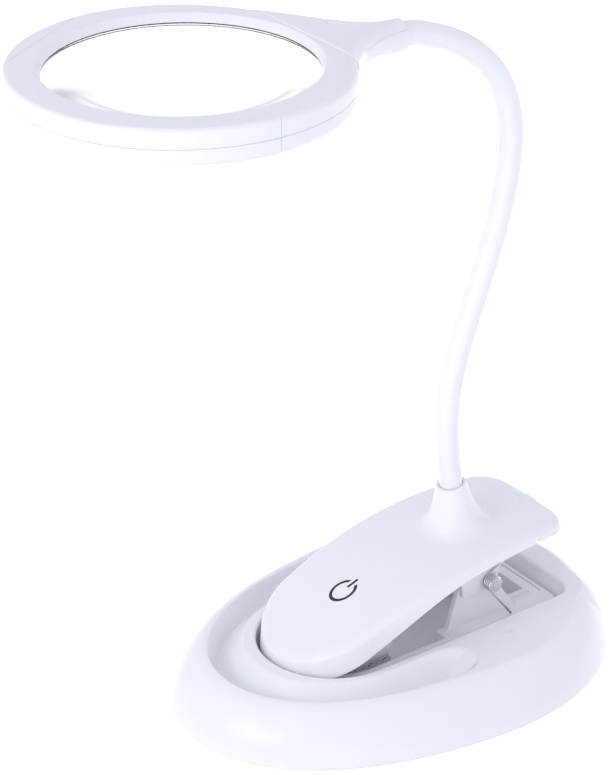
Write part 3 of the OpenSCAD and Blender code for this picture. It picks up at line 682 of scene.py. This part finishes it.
# Heights of the tray's underside, the lower and upper edge of its rim, and its top
TRAY_LIFT = (0.3, 0.5, 1.3, 1.6)


def tray_belly(share):
    """How far the tray hangs below its rim at a share of the way out from its middle."""
    return TRAY_BELLY * smoothstep(np.array((1 - share) / 0.4))


def clip_tray():
    """The plate that closes the cover, with the battery tub and the lugs that hang on the pin."""
    outline = paddle_outline()
    plan = outline - outline_normals(outline) * (SKIN + 0.12)
    rings = []
    shares = (0.05, 0.3, 0.5, 0.6, 0.7, 0.8, 0.9, 0.98)
    for steps, lift in zip((shares, (1.0,), (1.0,), shares[::-1]), TRAY_LIFT):
        for share in steps:
            flat = TRAY_MIDDLE + (plan - TRAY_MIDDLE) * share
            rings.append(at_height(flat, under_z(flat[:, 1]) + lift - tray_belly(share)))
    tray = loft("clip_tray_plate", rings)
    y = np.linspace(TUB_Y[0], TUB_Y[1], TUB_LEVELS)
    roof = list(zip(y[::-1], under_z(y[::-1]) - 2.2))
    tub = prism_x("tub", [(TUB_Y[0], TUB_UNDER_Z), (TUB_Y[1], TUB_UNDER_Z)] + roof, -TUB_HW, TUB_HW)
    pieces = [tray, soften(tub, 0.8)]
    for sign in (1, -1):
        for name, outline, span in (("lug", LUG, LUG_X), ("inner_lug", INNER_LUG, INNER_LUG_X)):
            pieces.append(soften(prism_x(name, outline, sign * span[0], sign * span[1]), 0.35))
    return pieces


JAW_HW = 31.0
JAW_Y = (-62.0, 78.0)
JAW_WALL = 3.2
DECK_Z = 21.3
DECK_FROM_Y = 12.0
EAR_X = (20.8, 23.5)
EAR_R = 5.6
JAW_FLOOR = 3.0
JAW_CORNER_R = 4
ABOVE_DECK = 5
WELL = {"half": 17.2, "low": 53.0, "high": 68.0, "rim": 2.1, "proud": 1.2}


def lower_jaw():
    """The lower jaw: a shallow tray with a deck behind, a pair of hinge ears and a well with a raised rim."""
    low = box_mm("lower_jaw")[0][2]
    nose_y = JAW_Y[0] + JAW_HW
    corner = JAW_CORNER_R
    plan = np.vstack([arc((0, nose_y), JAW_HW, -180, 0, 60),
                      arc((JAW_HW - corner, JAW_Y[1] - corner), corner, 0, 91, 8),
                      arc((corner - JAW_HW, JAW_Y[1] - corner), corner, 90, 181, 8)])
    levels = ((low + 0.4, 0.985), (low + 1.2, 1.0), (DECK_Z - 0.6, 1.0), (DECK_Z, 0.985))
    jaw = loft("lower_jaw_shell", [at_height(plan * share, z) for z, share in levels])

    floor, top = low + JAW_FLOOR, DECK_Z + ABOVE_DECK
    pocket_hw = JAW_HW - JAW_WALL
    front = np.vstack([arc((0, nose_y), pocket_hw, -180, 0, 48),
                       [(pocket_hw, DECK_FROM_Y), (-pocket_hw, DECK_FROM_Y)]])
    subtract(jaw, loft("pocket", [at_height(front, z) for z in (floor, top)]))
    between = EAR_X[0] - 0.6
    subtract(jaw, block("between_ears", (-between, DECK_FROM_Y - 1, floor), (between, 49.5, top)))
    half, rim = WELL["half"], WELL["rim"]
    join(jaw, block("rim", (-half - rim, WELL["low"] - rim, DECK_Z - 2),
                    (half + rim, WELL["high"] + rim, DECK_Z + WELL["proud"])))
    subtract(jaw, block("well", (-half, WELL["low"], floor + 1), (half, WELL["high"], top)))
    subtract(jaw, block("slot", (-22, 74.6, DECK_Z - 1.2), (22, 75.4, top)))

    turns = np.radians(np.linspace(120, 10, 12))
    ear = [(10.5, 14.0), (17.2, 22.4), (22.6, 40.6), (24.0, 42.6), (27.0, 43.6)]
    ear += [(PIN[1] + EAR_R * math.cos(t), PIN[2] + EAR_R * math.sin(t)) for t in turns]
    ear += [(50.2, 31.0), (57.0, 22.6), (64.0, 14.0)]
    for sign in (1, -1):
        join(jaw, prism_x("ear", ear, sign * EAR_X[0], sign * EAR_X[1]))
    return soften(jaw, 0.45)


PORT_Z = (57.3, 59.3)
PORT_HW = 3.9
PORT_DEPTH = 2.1
PORT_RIM = 0.3


def charge_port():
    """The charging socket in the tail: a metal frame round a slot."""
    rim = PORT_RIM
    port = block("charge_port", (-PORT_HW, TAIL_Y - PORT_DEPTH, PORT_Z[0]),
                 (PORT_HW, TAIL_Y - 0.05, PORT_Z[1]))
    subtract(port, block("mouth", (rim - PORT_HW, TAIL_Y - PORT_DEPTH + rim, PORT_Z[0] + rim),
                         (PORT_HW - rim, TAIL_Y + 1, PORT_Z[1] - rim)))
    return port


def tray_z(x, y):
    """Height of the clip tray's underside."""
    arm = np.array([x, y]) - TRAY_MIDDLE
    full = along_rays(paddle_outline() - TRAY_MIDDLE, np.zeros(2), np.arctan2(arm[1:], arm[:1]))[0] - SKIN
    return float(under_z(np.array(y)) + TRAY_LIFT[0] - tray_belly(math.hypot(*arm) / full))


SCREWS = [(25.0, -28.0), (-25.0, -28.0), (22.0, 72.0), (-22.0, 72.0)]
SCREW_HEAD = [(0.02, 1.5), (2.6, 1.5), (2.6, -0.1), (2.3, -0.45), (0.02, -0.6)]
CROSS = {"long": 1.6, "wide": 0.35, "deep": -0.1}


def tray_screws():
    """Cross-head screws in the tray's underside."""
    pieces = []
    for x, y in SCREWS:
        z = tray_z(x, y)
        head = turned("tray_screw", SCREW_HEAD, (x, y, z), 48)
        for w, l in ((CROSS["wide"], CROSS["long"]), (CROSS["long"], CROSS["wide"])):
            subtract(head, block("cross", (x - w, y - l, z - 2), (x + w, y + l, z + CROSS["deep"])))
        pieces.append(head)
    return pieces


SYMBOL_Y = -27.0
SYMBOL_R = 5.1
SYMBOL_LINE = 1.3
SYMBOL_GAP = 22.0
# The mark is drawn longer than wide, because it is meant to be read from the nose
SYMBOL_STRETCH = 1.2
LIGHT_W = 1.0


def power_symbol():
    """An open ring with a bar through its gap."""
    outer = arc((0, 0), SYMBOL_R + SYMBOL_LINE / 2, 90 + SYMBOL_GAP, 450 - SYMBOL_GAP, 90)
    inner = arc((0, 0), SYMBOL_R - SYMBOL_LINE / 2, 450 - SYMBOL_GAP * 1.2, 90 + SYMBOL_GAP * 1.2, 90)
    bar_w, bar_low, bar_high = SYMBOL_LINE / 2, SYMBOL_R - 3.0, SYMBOL_R + 2.0
    bar = np.array([(-bar_w, bar_low), (bar_w, bar_low), (bar_w, bar_high), (-bar_w, bar_high)])
    return [inlay(name, plan * [1, SYMBOL_STRETCH] + [0, SYMBOL_Y])
            for name, plan in (("power_ring", np.vstack([outer, inner])), ("power_bar", bar))]


def charge_lights():
    """Two narrow windows across the tail."""
    low, high = box_mm("charge_lights")
    windows = []
    for y in (low[1], high[1] - LIGHT_W):
        plan = np.array([(low[0], y), (high[0], y), (high[0], y + LIGHT_W), (low[0], y + LIGHT_W)])
        windows.append(inlay("charge_light", plan, proud=0.12))
    return windows


def directions(path):
    """Unit vectors along a path."""
    tangent = np.gradient(path, axis=0)
    return tangent / np.linalg.norm(tangent, axis=1)[:, None]


def tube(name, path, radius, sides=16):
    """A round wire along a path, closed at both ends."""
    tangent = directions(path)
    side = np.cross(tangent[0], [0.3, 0.1, 0.9])
    angles = full_turn(sides)
    rings = []
    for at, along in zip(path, tangent):
        side = side - along * side.dot(along)
        side /= np.linalg.norm(side)
        up = np.cross(along, side)
        rings.append(at + radius * (np.outer(np.cos(angles), side) + np.outer(np.sin(angles), up)))
    return loft(name, rings)


# ---------- neck ----------

NECK_R = 5.5
NECK_SIDES = 48
# How far the sleeve reaches into the boss and into the head
SLEEVE_IN = 5.5, 5
lens_low, lens_high = box_mm("lens")
HEAD = np.array([0.0, (lens_low[1] + lens_high[1]) / 2, box_mm("head_lower_ring")[0][2]])
HEAD_REACH = 110.0
NECK_END = HEAD + [0, HEAD_REACH, 3.5]
neck_joints = [j for j in frame["joints"] if j["name"].startswith("neck_")]


def curve_through(points, step=0.8):
    """A smooth curve through points, as (positions, arc length at each of points)."""
    points = np.asarray(points, float)
    gaps = np.linalg.norm(np.diff(points, axis=0), axis=1)
    at = np.concatenate([[0], np.cumsum(gaps)])
    slope = np.gradient(points, at, axis=0)
    fine, marks = [], [0]
    for i, gap in enumerate(gaps):
        count = max(2, round(gap / step))
        t = np.linspace(0, 1, count, endpoint=False)[:, None]
        a, b = points[i], points[i + 1]
        da, db = slope[i] * gap, slope[i + 1] * gap
        fine.append((2 * t ** 3 - 3 * t ** 2 + 1) * a + (t ** 3 - 2 * t ** 2 + t) * da
                    + (3 * t ** 2 - 2 * t ** 3) * b + (t ** 3 - t ** 2) * db)
        marks.append(marks[-1] + count)
    return np.vstack(fine + [points[-1:]]), marks


def neck_sleeve():
    """The silicone sleeve: a foot, one length round each joint of the neck, and an end in the head."""
    joints = [np.array(j["pos_m"]) / MM for j in neck_joints]
    down = np.array([0, math.sin(NECK_LEAN), -math.cos(NECK_LEAN)])
    into_head = np.array([0, -0.99, -0.12])
    stops = [BOSS_TOP + down * SLEEVE_IN[0], BOSS_TOP, *joints, NECK_END, NECK_END + into_head * SLEEVE_IN[1]]
    path, marks = curve_through(stops)
    middles = [(a + b) // 2 for a, b in zip(marks[1:], marks[2:-1])]
    cuts = [0] + middles + [len(path) - 1]
    angles = full_turn(NECK_SIDES)
    tangent = directions(path)
    side = np.array([1.0, 0, 0])
    for i, (first, last) in enumerate(zip(cuts, cuts[1:])):
        rings = []
        for k in range(first, last + 1):
            up = np.cross(tangent[k], side)
            rings.append(path[k] + NECK_R * (np.outer(np.cos(angles), side) + np.outer(np.sin(angles), up)))
        piece = loft(f"neck_sleeve_{i + 1:02d}", rings)
        finish(piece, "sleeve")
        if 0 < i < len(cuts) - 2:
            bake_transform(piece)
        else:
            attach(piece, "head" if i else "clip_upper")
        if i < len(joints) + 1:
            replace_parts(piece, f"neck_link_{i + 1:02d}")


# ---------- head ----------

HEAD_H = 16.0
SPLIT_H = 7.7
EYE_R = 56.0
BEVEL_R = 57.6
BEVEL_H = 3.6
SEAT_Z = 12.2
NECK_CHORD = 58.6
CAP_CHORD = 63.2
CAP_ANGLES = (-30, 210)
# Half the width of the seams: at the right and left caps, at the neck cover, and at the end of the ring
CAP_SEAMS = (0.012, 0.06)
SEAM = 0.04
END_SEAM = 0.08
END_SEAM_ANGLE = -1.5
SEAM_STEP = 0.55
# The ring's halves, and the neck cover's, stop this far from the plane between them
SPLIT_GAP = 0.05
RING_WALL = 2.2
COLLAR_R = 7.4
COVER_EDGE_LOW = 3.4
head_r = box_mm("head_upper_ring")[1][0]


def edge_size(angles):
    """How far the ring's top edge is rounded: crisp in front, generous towards the neck."""
    from_neck = np.abs((angles - math.pi / 2 + math.pi) % TAU - math.pi)
    return 1.7 + 4.0 * smoothstep((math.radians(95) - from_neck) / math.radians(62))


def head_ring(name, profile):
    """A ring round the head; profile lists radius, height and, at its edge, the share of its size in each."""
    angles = full_turn(320)
    size = edge_size(angles)
    rings = []
    for r, z, *shares in profile:
        share_in, share_down = shares or (0, 0)
        rings.append(circle(HEAD, r - share_in * size, angles, HEAD[2] + z - share_down * size))
    return hoop(name, rings)


def upper_ring_profile():
    low = SPLIT_H + SPLIT_GAP
    profile = [(head_r - 0.3, low), (head_r - 0.05, low + 0.1), (head_r, low + 0.4)]
    profile += [(head_r, HEAD_H, 1 - math.cos(t), 1 - math.sin(t)) for t in quarter_turn(9)]
    for share in (0.35, 0.7):
        profile.append((mix(head_r - 2, BEVEL_R, share), HEAD_H, 1 - share, 0))
    profile += [(BEVEL_R + 0.35, HEAD_H), (BEVEL_R + 0.1, HEAD_H - 0.06),
                (BEVEL_R - 0.12, HEAD_H - 0.25),
                (EYE_R + 0.1, HEAD_H - BEVEL_H), (EYE_R, HEAD_H - BEVEL_H - 0.15),
                (EYE_R, SEAT_Z), (EYE_R + 4.7, SEAT_Z), (EYE_R + 4.7, HEAD_H - 3.3),
                (head_r - 8, HEAD_H - RING_WALL), (head_r - 6, HEAD_H - 3.2),
                (head_r - RING_WALL, HEAD_H - 6.4), (head_r - RING_WALL, low)]
    return profile


def lower_ring_profile():
    high = SPLIT_H - SPLIT_GAP
    lip_r = box_mm("diffuser_ring")[1][0] + 0.1
    return [(head_r - RING_WALL, high), (head_r - RING_WALL, 2.4), (lip_r + 0.5, 1.9),
            (lip_r, 1.7), (lip_r, 0.45), (lip_r + 0.3, 0.08), (lip_r + 0.7, 0.0),
            (head_r - 3.4, 0), (head_r - 2.0, 0.35), (head_r - 0.9, 1.1),
            (head_r - 0.25, 2.2), (head_r, 3.6), (head_r, high - 0.4),
            (head_r - 0.05, high - 0.1), (head_r - 0.3, high)]


def chord_plane(angle_deg, distance):
    """(point, outward normal) of a vertical plane across the head."""
    a = math.radians(angle_deg)
    normal = np.array([math.cos(a), math.sin(a), 0.0])
    return HEAD + normal * distance, normal


def ring_parts():
    """Both halves of the lens ring, each with its two side caps."""
    for half, profile in (("upper", upper_ring_profile()), ("lower", lower_ring_profile())):
        whole = head_ring(f"lens_ring_{half}", profile)
        seam_y = HEAD[1] + head_r * math.sin(math.radians(END_SEAM_ANGLE))
        subtract(whole, block("end_seam", (head_r - 0.9, seam_y - END_SEAM, HEAD[2] - 1),
                              (head_r + 1, seam_y + END_SEAM, HEAD[2] + HEAD_H + 1)))
        for side, angle, seam in zip(("right", "left"), CAP_ANGLES, CAP_SEAMS):
            cap = copy_of(whole, f"ring_cap_{side}_{half}")
            point, normal = chord_plane(angle, CAP_CHORD + seam)
            cut(cap, point, -normal)
            stands_for(cap, "head", f"rim_cap_{side}_{half}")
        for angle, seam in zip(CAP_ANGLES, CAP_SEAMS):
            cut(whole, *chord_plane(angle, CAP_CHORD - seam))
        cut(whole, *chord_plane(90, NECK_CHORD - SEAM))
        stands_for(whole, "head", f"head_{half}_ring")


def neck_section(y, half_w, low, high, edge_x, edge_top, edge_low, steps=14):
    """A rounded rectangle across the head's neck cover."""
    points, turns = [], quarter_turn(steps)[::-1]
    corners = ((1, -1, edge_low), (1, 1, edge_top), (-1, 1, edge_top), (-1, -1, edge_low))
    for sign_x, sign_z, edge_z in corners:
        z_wall = high - edge_z if sign_z > 0 else low + edge_z
        for t in turns if sign_x * sign_z < 0 else turns[::-1]:
            points.append((sign_x * (half_w - edge_x * (1 - math.cos(t))), y,
                           z_wall + sign_z * edge_z * math.sin(t)))
    return np.array(points)


def neck_cover():
    """The cover that runs from the ring to the collar round the neck, in two halves."""
    chord_hw = math.sqrt(head_r ** 2 - NECK_CHORD ** 2)
    collar_z = NECK_END[2] - HEAD[2]
    edge = edge_size(np.array([math.radians(60)]))[0]
    run = HEAD_REACH - NECK_CHORD
    power = (NECK_CHORD / chord_hw) * run / (chord_hw - COLLAR_R)
    first_edge_x = chord_hw - math.sqrt((head_r - edge) ** 2 - NECK_CHORD ** 2)
    rings = []
    for t in np.concatenate([[0.0], np.linspace(0, 1, 40) ** 1.1 * 0.98 + SEAM_STEP / run]):
        ease = smoothstep(np.array(t * 1.04))
        half_w = COLLAR_R + (chord_hw - COLLAR_R) * max(0.0, 1 - t) ** power
        high = mix(HEAD_H + SEAM_STEP, collar_z + COLLAR_R, ease)
        low = (collar_z - COLLAR_R) * ease
        edge_x = min(half_w, mix(first_edge_x, COLLAR_R, ease))
        edge_z = mix(edge, COLLAR_R, ease), mix(COVER_EDGE_LOW, COLLAR_R, ease)
        inset = SEAM_STEP if not rings else 0.0
        rings.append(neck_section(NECK_CHORD + SEAM + run * t, half_w - inset, low + inset, high - inset,
                                  edge_x, *edge_z))
    for y, r in ((run * 0.996, COLLAR_R - 0.1), (run, COLLAR_R - 0.45), (run, BORE_R), (run - 7, BORE_R)):
        rings.append(neck_section(NECK_CHORD + y, r, collar_z - r, collar_z + r, r, r, r))
    rings = np.array(rings) + [0, HEAD[1], HEAD[2]]
    whole = loft("neck_cover_shell_upper", rings)
    lower = copy_of(whole, "neck_cover_shell_lower")
    split = HEAD + [0, 0, SPLIT_H]
    cut(whole, split + [0, 0, SPLIT_GAP], (0, 0, -1))
    cut(lower, split - [0, 0, SPLIT_GAP], (0, 0, 1))
    stands_for(whole, "head", "neck_cover_upper")
    stands_for(lower, "head", "neck_cover_lower")


LENS_SAG = 4.0
# How far the lens's edge lies under its seat
LENS_DROP = 0.95


def lens():
    """A lens with two round faces and a ground edge."""
    radius, sag = lens_high[0], LENS_SAG
    edge_low, edge_high = lens_low[2] + sag, HEAD[2] + SEAT_Z - LENS_DROP
    face_r = (radius ** 2 + sag ** 2) / (2 * sag)
    angles = full_turn(192)

    def bulge(r):
        return face_r - math.sqrt(face_r ** 2 - r ** 2)

    spread = radius * np.sin(np.linspace(0.03, math.pi / 2, 40))
    rings = [circle(HEAD, r, angles, edge_low - sag + bulge(r)) for r in spread]
    rings += [circle(HEAD, r, angles, edge_high + sag - bulge(r)) for r in spread[::-1]]
    piece = loft("lens_disc", rings)
    stands_for(piece, "head", "lens")
    # The ground edge gets the lens-edge finish, which carries a painted glow
    piece.data.materials.append(FINISHES["lens_edge"])
    for face in piece.data.polygons:
        if abs(face.normal.z) < 0.5:
            face.material_index = 1


def lens_gasket():
    """The dark seal between the lens and its seat."""
    low, high = SEAT_Z - 0.6, SEAT_Z - 0.02
    profile = [(EYE_R + 0.12, low), (EYE_R + 0.12, high), (EYE_R + 2.4, high), (EYE_R + 2.4, low)]
    seal = stands_for(turned("lens_seal", profile, HEAD), "head", "lens_gasket")
    seal.data.materials[0] = FINISHES["seal_black"]


# Painted light in the lens: a pale glow painted in place of light reflected inside the glass, and greys painted as
# shade streaks within it
PAINTED_GLOW = (1.05, 1.05, 1.08, 1)
PAINTED_SHADE_GREY = (0.60, 0.60, 0.66, 1)
PAINTED_SHADE_DARK = (0.34, 0.33, 0.38, 1)
PAINTED_RING_GREY = (0.80, 0.80, 0.86, 1)
# Directions across the glass and towards its near side, as seen from the main camera, along which the painted grey
# shade is laid
GREY_ACROSS = (0.59, 0.81, 0.0)
GREY_NEAR = (0.81, -0.59, 0.0)
GREY_FROM, GREY_FULL = 19.0, 27.0
# Radius of the faint painted grey ring on the glass, a painted reflection of the opening below it
PAINTED_RING_R = 46.0
# How far light runs inside the glass before its second bounce
BOUNCE_RUN = 16.0


def painted_glass_reflection(material):
    """Rays that have bounced about inside the glass see a painted reflection: a pale glow with soft streaks of
    painted grey shade.
    """
    tree = material.node_tree
    radius = float(lens_high[0])
    origin = (-GREY_NEAR[0] * BOUNCE_RUN * MM, (HEAD[1] - GREY_NEAR[1] * BOUNCE_RUN) * MM, 0)
    place = add_node(tree, "TexCoord").outputs["Object"]
    from_middle = add_node(tree, "VectorMath", {0: place, 1: origin}, operation="SUBTRACT")

    def along(direction, low, high, curve):
        """How far a point lies along a direction, from 0 at low to 1 at high."""
        dot = add_node(tree, "VectorMath", {0: from_middle, 1: direction}, operation="DOT_PRODUCT")
        return add_node(tree, "MapRange", {"From Min": low * MM, "From Max": high * MM, "Value": dot},
                        interpolation_type=curve)

    def ramp(value, stops):
        """Painted pale glow at both ends, with the painted shades of stops in between."""
        tone = add_node(tree, "ValToRGB", {"Fac": value})
        tone.color_ramp.interpolation = "EASE"
        found = tone.color_ramp.elements
        found[0].position, found[0].color = 0.0, PAINTED_GLOW
        found[1].position, found[1].color = 1.0, PAINTED_GLOW
        for position, colour in stops:
            found.new(position).color = colour
        return tone

    ends = ramp(along(GREY_ACROSS, -radius, radius, "LINEAR"),
                ((0.05, PAINTED_GLOW), (0.11, PAINTED_SHADE_GREY), (0.24, PAINTED_GLOW), (0.87, PAINTED_GLOW), (0.92, PAINTED_SHADE_DARK), (0.96, PAINTED_GLOW)))
    flat = add_node(tree, "VectorMath", {0: from_middle, 1: (1, 1, 0)}, operation="MULTIPLY")
    away = add_node(tree, "VectorMath", {0: flat}, operation="LENGTH")
    share = add_node(tree, "Math", {0: away, 1: radius * MM}, operation="DIVIDE")
    inner = PAINTED_RING_R / radius
    painted_ring = ramp(share, ((inner - 0.02, PAINTED_GLOW), (inner, PAINTED_RING_GREY), (inner + 0.06, PAINTED_GLOW)))
    both = add_node(tree, "Mix", {"Factor": 1, "A": ends, "B": painted_ring}, data_type="RGBA", blend_type="DARKEN")
    near = along(GREY_NEAR, GREY_FROM, GREY_FULL, "SMOOTHSTEP")
    soft = add_node(tree, "Mix", {"A": PAINTED_GLOW, "B": both, "Factor": near}, data_type="RGBA")
    painted_glow_shader = add_node(tree, "Emission", {"Color": soft})
    # Rays past their first bounce see the painted reflection instead of the real glass
    depth = add_node(tree, "LightPath").outputs["Ray Depth"]
    deep = add_node(tree, "Math", {0: depth, 1: 1.5}, operation="GREATER_THAN")
    glass = add_node(tree, "MixShader", {"Fac": deep, 1: tree.nodes["Principled BSDF"], 2: painted_glow_shader})
    feed(glass, tree.nodes["Material Output"].inputs["Surface"])


# Painted light: the lens's ground edge glows for the camera and the glass, standing in for light it would catch
glow_unless_diffuse(FINISHES["lens_edge"], 0.85)
# Painted reflection inside the lens: a pale glow with painted grey shade, for rays past their first bounce
painted_glass_reflection(FINISHES["lens_glass"])
# Painted light: the diffuser glows faintly for the camera and the glass, though it lights nothing
glow_unless_diffuse(FINISHES["diffuser"], 0.35)


# ---------- springs ----------

SPRING_WIRE_R = 0.6
SPRING_R = 3.6
SPRING_PITCH, SPRING_TURNS, SPRING_START = 1.25, 3.27, 120.0
# How far each leg runs from the coil, (from, to)
LOWER_LEG = (0.6, 21.5)
UPPER_LEG = (15.5, 0.0)


def springs():
    """A torsion spring on each side of the hinge: coil and lower leg on the jaw, upper leg on the cover."""
    from_x = LUG_X[1] + 0.3 + SPRING_WIRE_R
    wound = 360 * SPRING_TURNS

    def at(angle):
        a = math.radians(SPRING_START + angle)
        return np.array([from_x + SPRING_PITCH * angle / 360,
                         PIN[1] + SPRING_R * math.cos(a), PIN[2] + SPRING_R * math.sin(a)])

    def heading(angle):
        a = math.radians(SPRING_START + angle)
        return np.array([0, -math.sin(a), math.cos(a)])

    coil = [at(a) for a in np.linspace(0, wound, 120)]
    lower = [coil[-1] + heading(wound) * d for d in np.linspace(*LOWER_LEG, 24)]
    upper = [at(6) - heading(0) * d for d in np.linspace(*UPPER_LEG, 18)]
    for side, sign in (("right", 1), ("left", -1)):
        for name, path, body in (("coil", coil + lower, "clip_lower"), ("leg", upper, "clip_upper")):
            piece = tube(f"spring_{name}_{side}", np.array(path) * [sign, 1, 1], SPRING_WIRE_R)
            finish(piece, "steel")
            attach(piece, body)
            if name == "coil" and side == "right":
                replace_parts(piece, "torsion_springs")


# ---------- stage ----------

SKY = {"horizon": 0.95, "zenith": 0.80}
SKY_COLOUR = (0.90, 0.905, 1.0, 1)
# Place, target, size, power and tint of each light
LIGHTS = {"key": ((0.22, -1.12, 0.62), (0, -0.02, 0.08), (0.9, 0.4), 2.9, (1.0, 1.0, 1.0)),
          "fill": ((1.2, -0.55, 0.26), (0, -0.02, 0.05), (0.9, 0.3), 0.7, (0.96, 0.97, 1.0))}
FLOOR_HALF = 8.0
# The camera at the photograph's viewing angle
AZIMUTH, ELEVATION, DISTANCE = math.radians(54.0), math.radians(27.8), 1.178
TARGET = Vector((-0.0130, -0.0384, 0.1515))
LENS_MM, SENSOR_MM = 123.1, 36


def floor():
    """White paper that glows a little, so that it stays as bright as the background."""
    h = FLOOR_HALF
    mesh = bpy.data.meshes.new("floor")
    mesh.from_pydata([(-h, -h, 0), (h, -h, 0), (h, h, 0), (-h, h, 0)], [], [[0, 1, 2, 3]])
    paint = node_material("floor_paint", [0.90, 0.90, 0.93], 0.9, speckle=0.004, Emission_Color=(1, 1, 1, 1))
    glow_unless_diffuse(paint, 0.9)
    mesh.materials.append(paint)
    add_object("floor", mesh)


def sky():
    """A soft sky, brighter or darker towards its top; the camera itself sees white paper behind the lamp."""
    world = bpy.data.worlds.new("studio")
    bpy.context.scene.world = world
    world.use_nodes = True
    tree = world.node_tree
    place = add_node(tree, "TexCoord").outputs["Generated"]
    height = add_node(tree, "SeparateXYZ", {"Vector": place}).outputs["Z"]
    fade = add_node(tree, "MapRange", {"To Min": SKY["horizon"], "To Max": SKY["zenith"], "Value": height})
    light = tree.nodes["Background"]
    light.inputs["Color"].default_value = SKY_COLOUR
    feed(fade, light.inputs["Strength"])
    paper = add_node(tree, "Background", {"Color": (1, 1, 1, 1)})
    camera_ray = add_node(tree, "LightPath").outputs["Is Camera Ray"]
    seen = add_node(tree, "MixShader", {"Fac": camera_ray, 1: light, 2: paper})
    feed(seen, tree.nodes["World Output"].inputs["Surface"])


def softbox(name, place, target, size, power, tint):
    light = bpy.data.lights.new(name, "AREA")
    light.shape = "RECTANGLE"
    light.size, light.size_y = size
    light.energy = power
    light.color = tint
    obj = add_object(name, light)
    obj.location = place
    obj.rotation_euler = (Vector(target) - Vector(place)).to_track_quat("-Z", "Y").to_euler()


def camera():
    data = bpy.data.cameras.new("camera")
    data.lens, data.sensor_width = LENS_MM, SENSOR_MM
    data.clip_start, data.clip_end = 0.05, 50
    obj = add_object("camera", data)
    flat = math.cos(ELEVATION)
    back = Vector((math.sin(AZIMUTH) * flat, -math.cos(AZIMUTH) * flat, math.sin(ELEVATION)))
    obj.location = TARGET + back * DISTANCE
    obj.rotation_euler = (-back).to_track_quat("-Z", "Y").to_euler()
    bpy.context.scene.camera = obj


def stage():
    floor()
    sky()
    for name, settings in LIGHTS.items():
        softbox(name, *settings)
    camera()
    bpy.context.scene.view_settings.view_transform = "Standard"


# ---------- the lamp ----------

for node, obj in frame["nodes"].items():
    obj.data.materials.clear()
    obj.data.materials.append(FINISHES[slot_of[node]])

for body, node, pieces in (
        ("base", "base_top_shell", [base_shell()]), ("clip_upper", "clip_cover", [clip_cover()]),
        ("clip_lower", "lower_jaw", [lower_jaw()]), ("clip_upper", "clip_tray", clip_tray()),
        ("clip_upper", "charge_socket", [charge_port()]), ("clip_upper", "tray_screws", tray_screws()),
        ("clip_upper", "power_symbol", power_symbol()), ("clip_upper", "charge_lights", charge_lights())):
    for piece in pieces:
        stands_for(piece, body, node)
neck_sleeve()
ring_parts()
neck_cover()
lens()
lens_gasket()
springs()
stage()
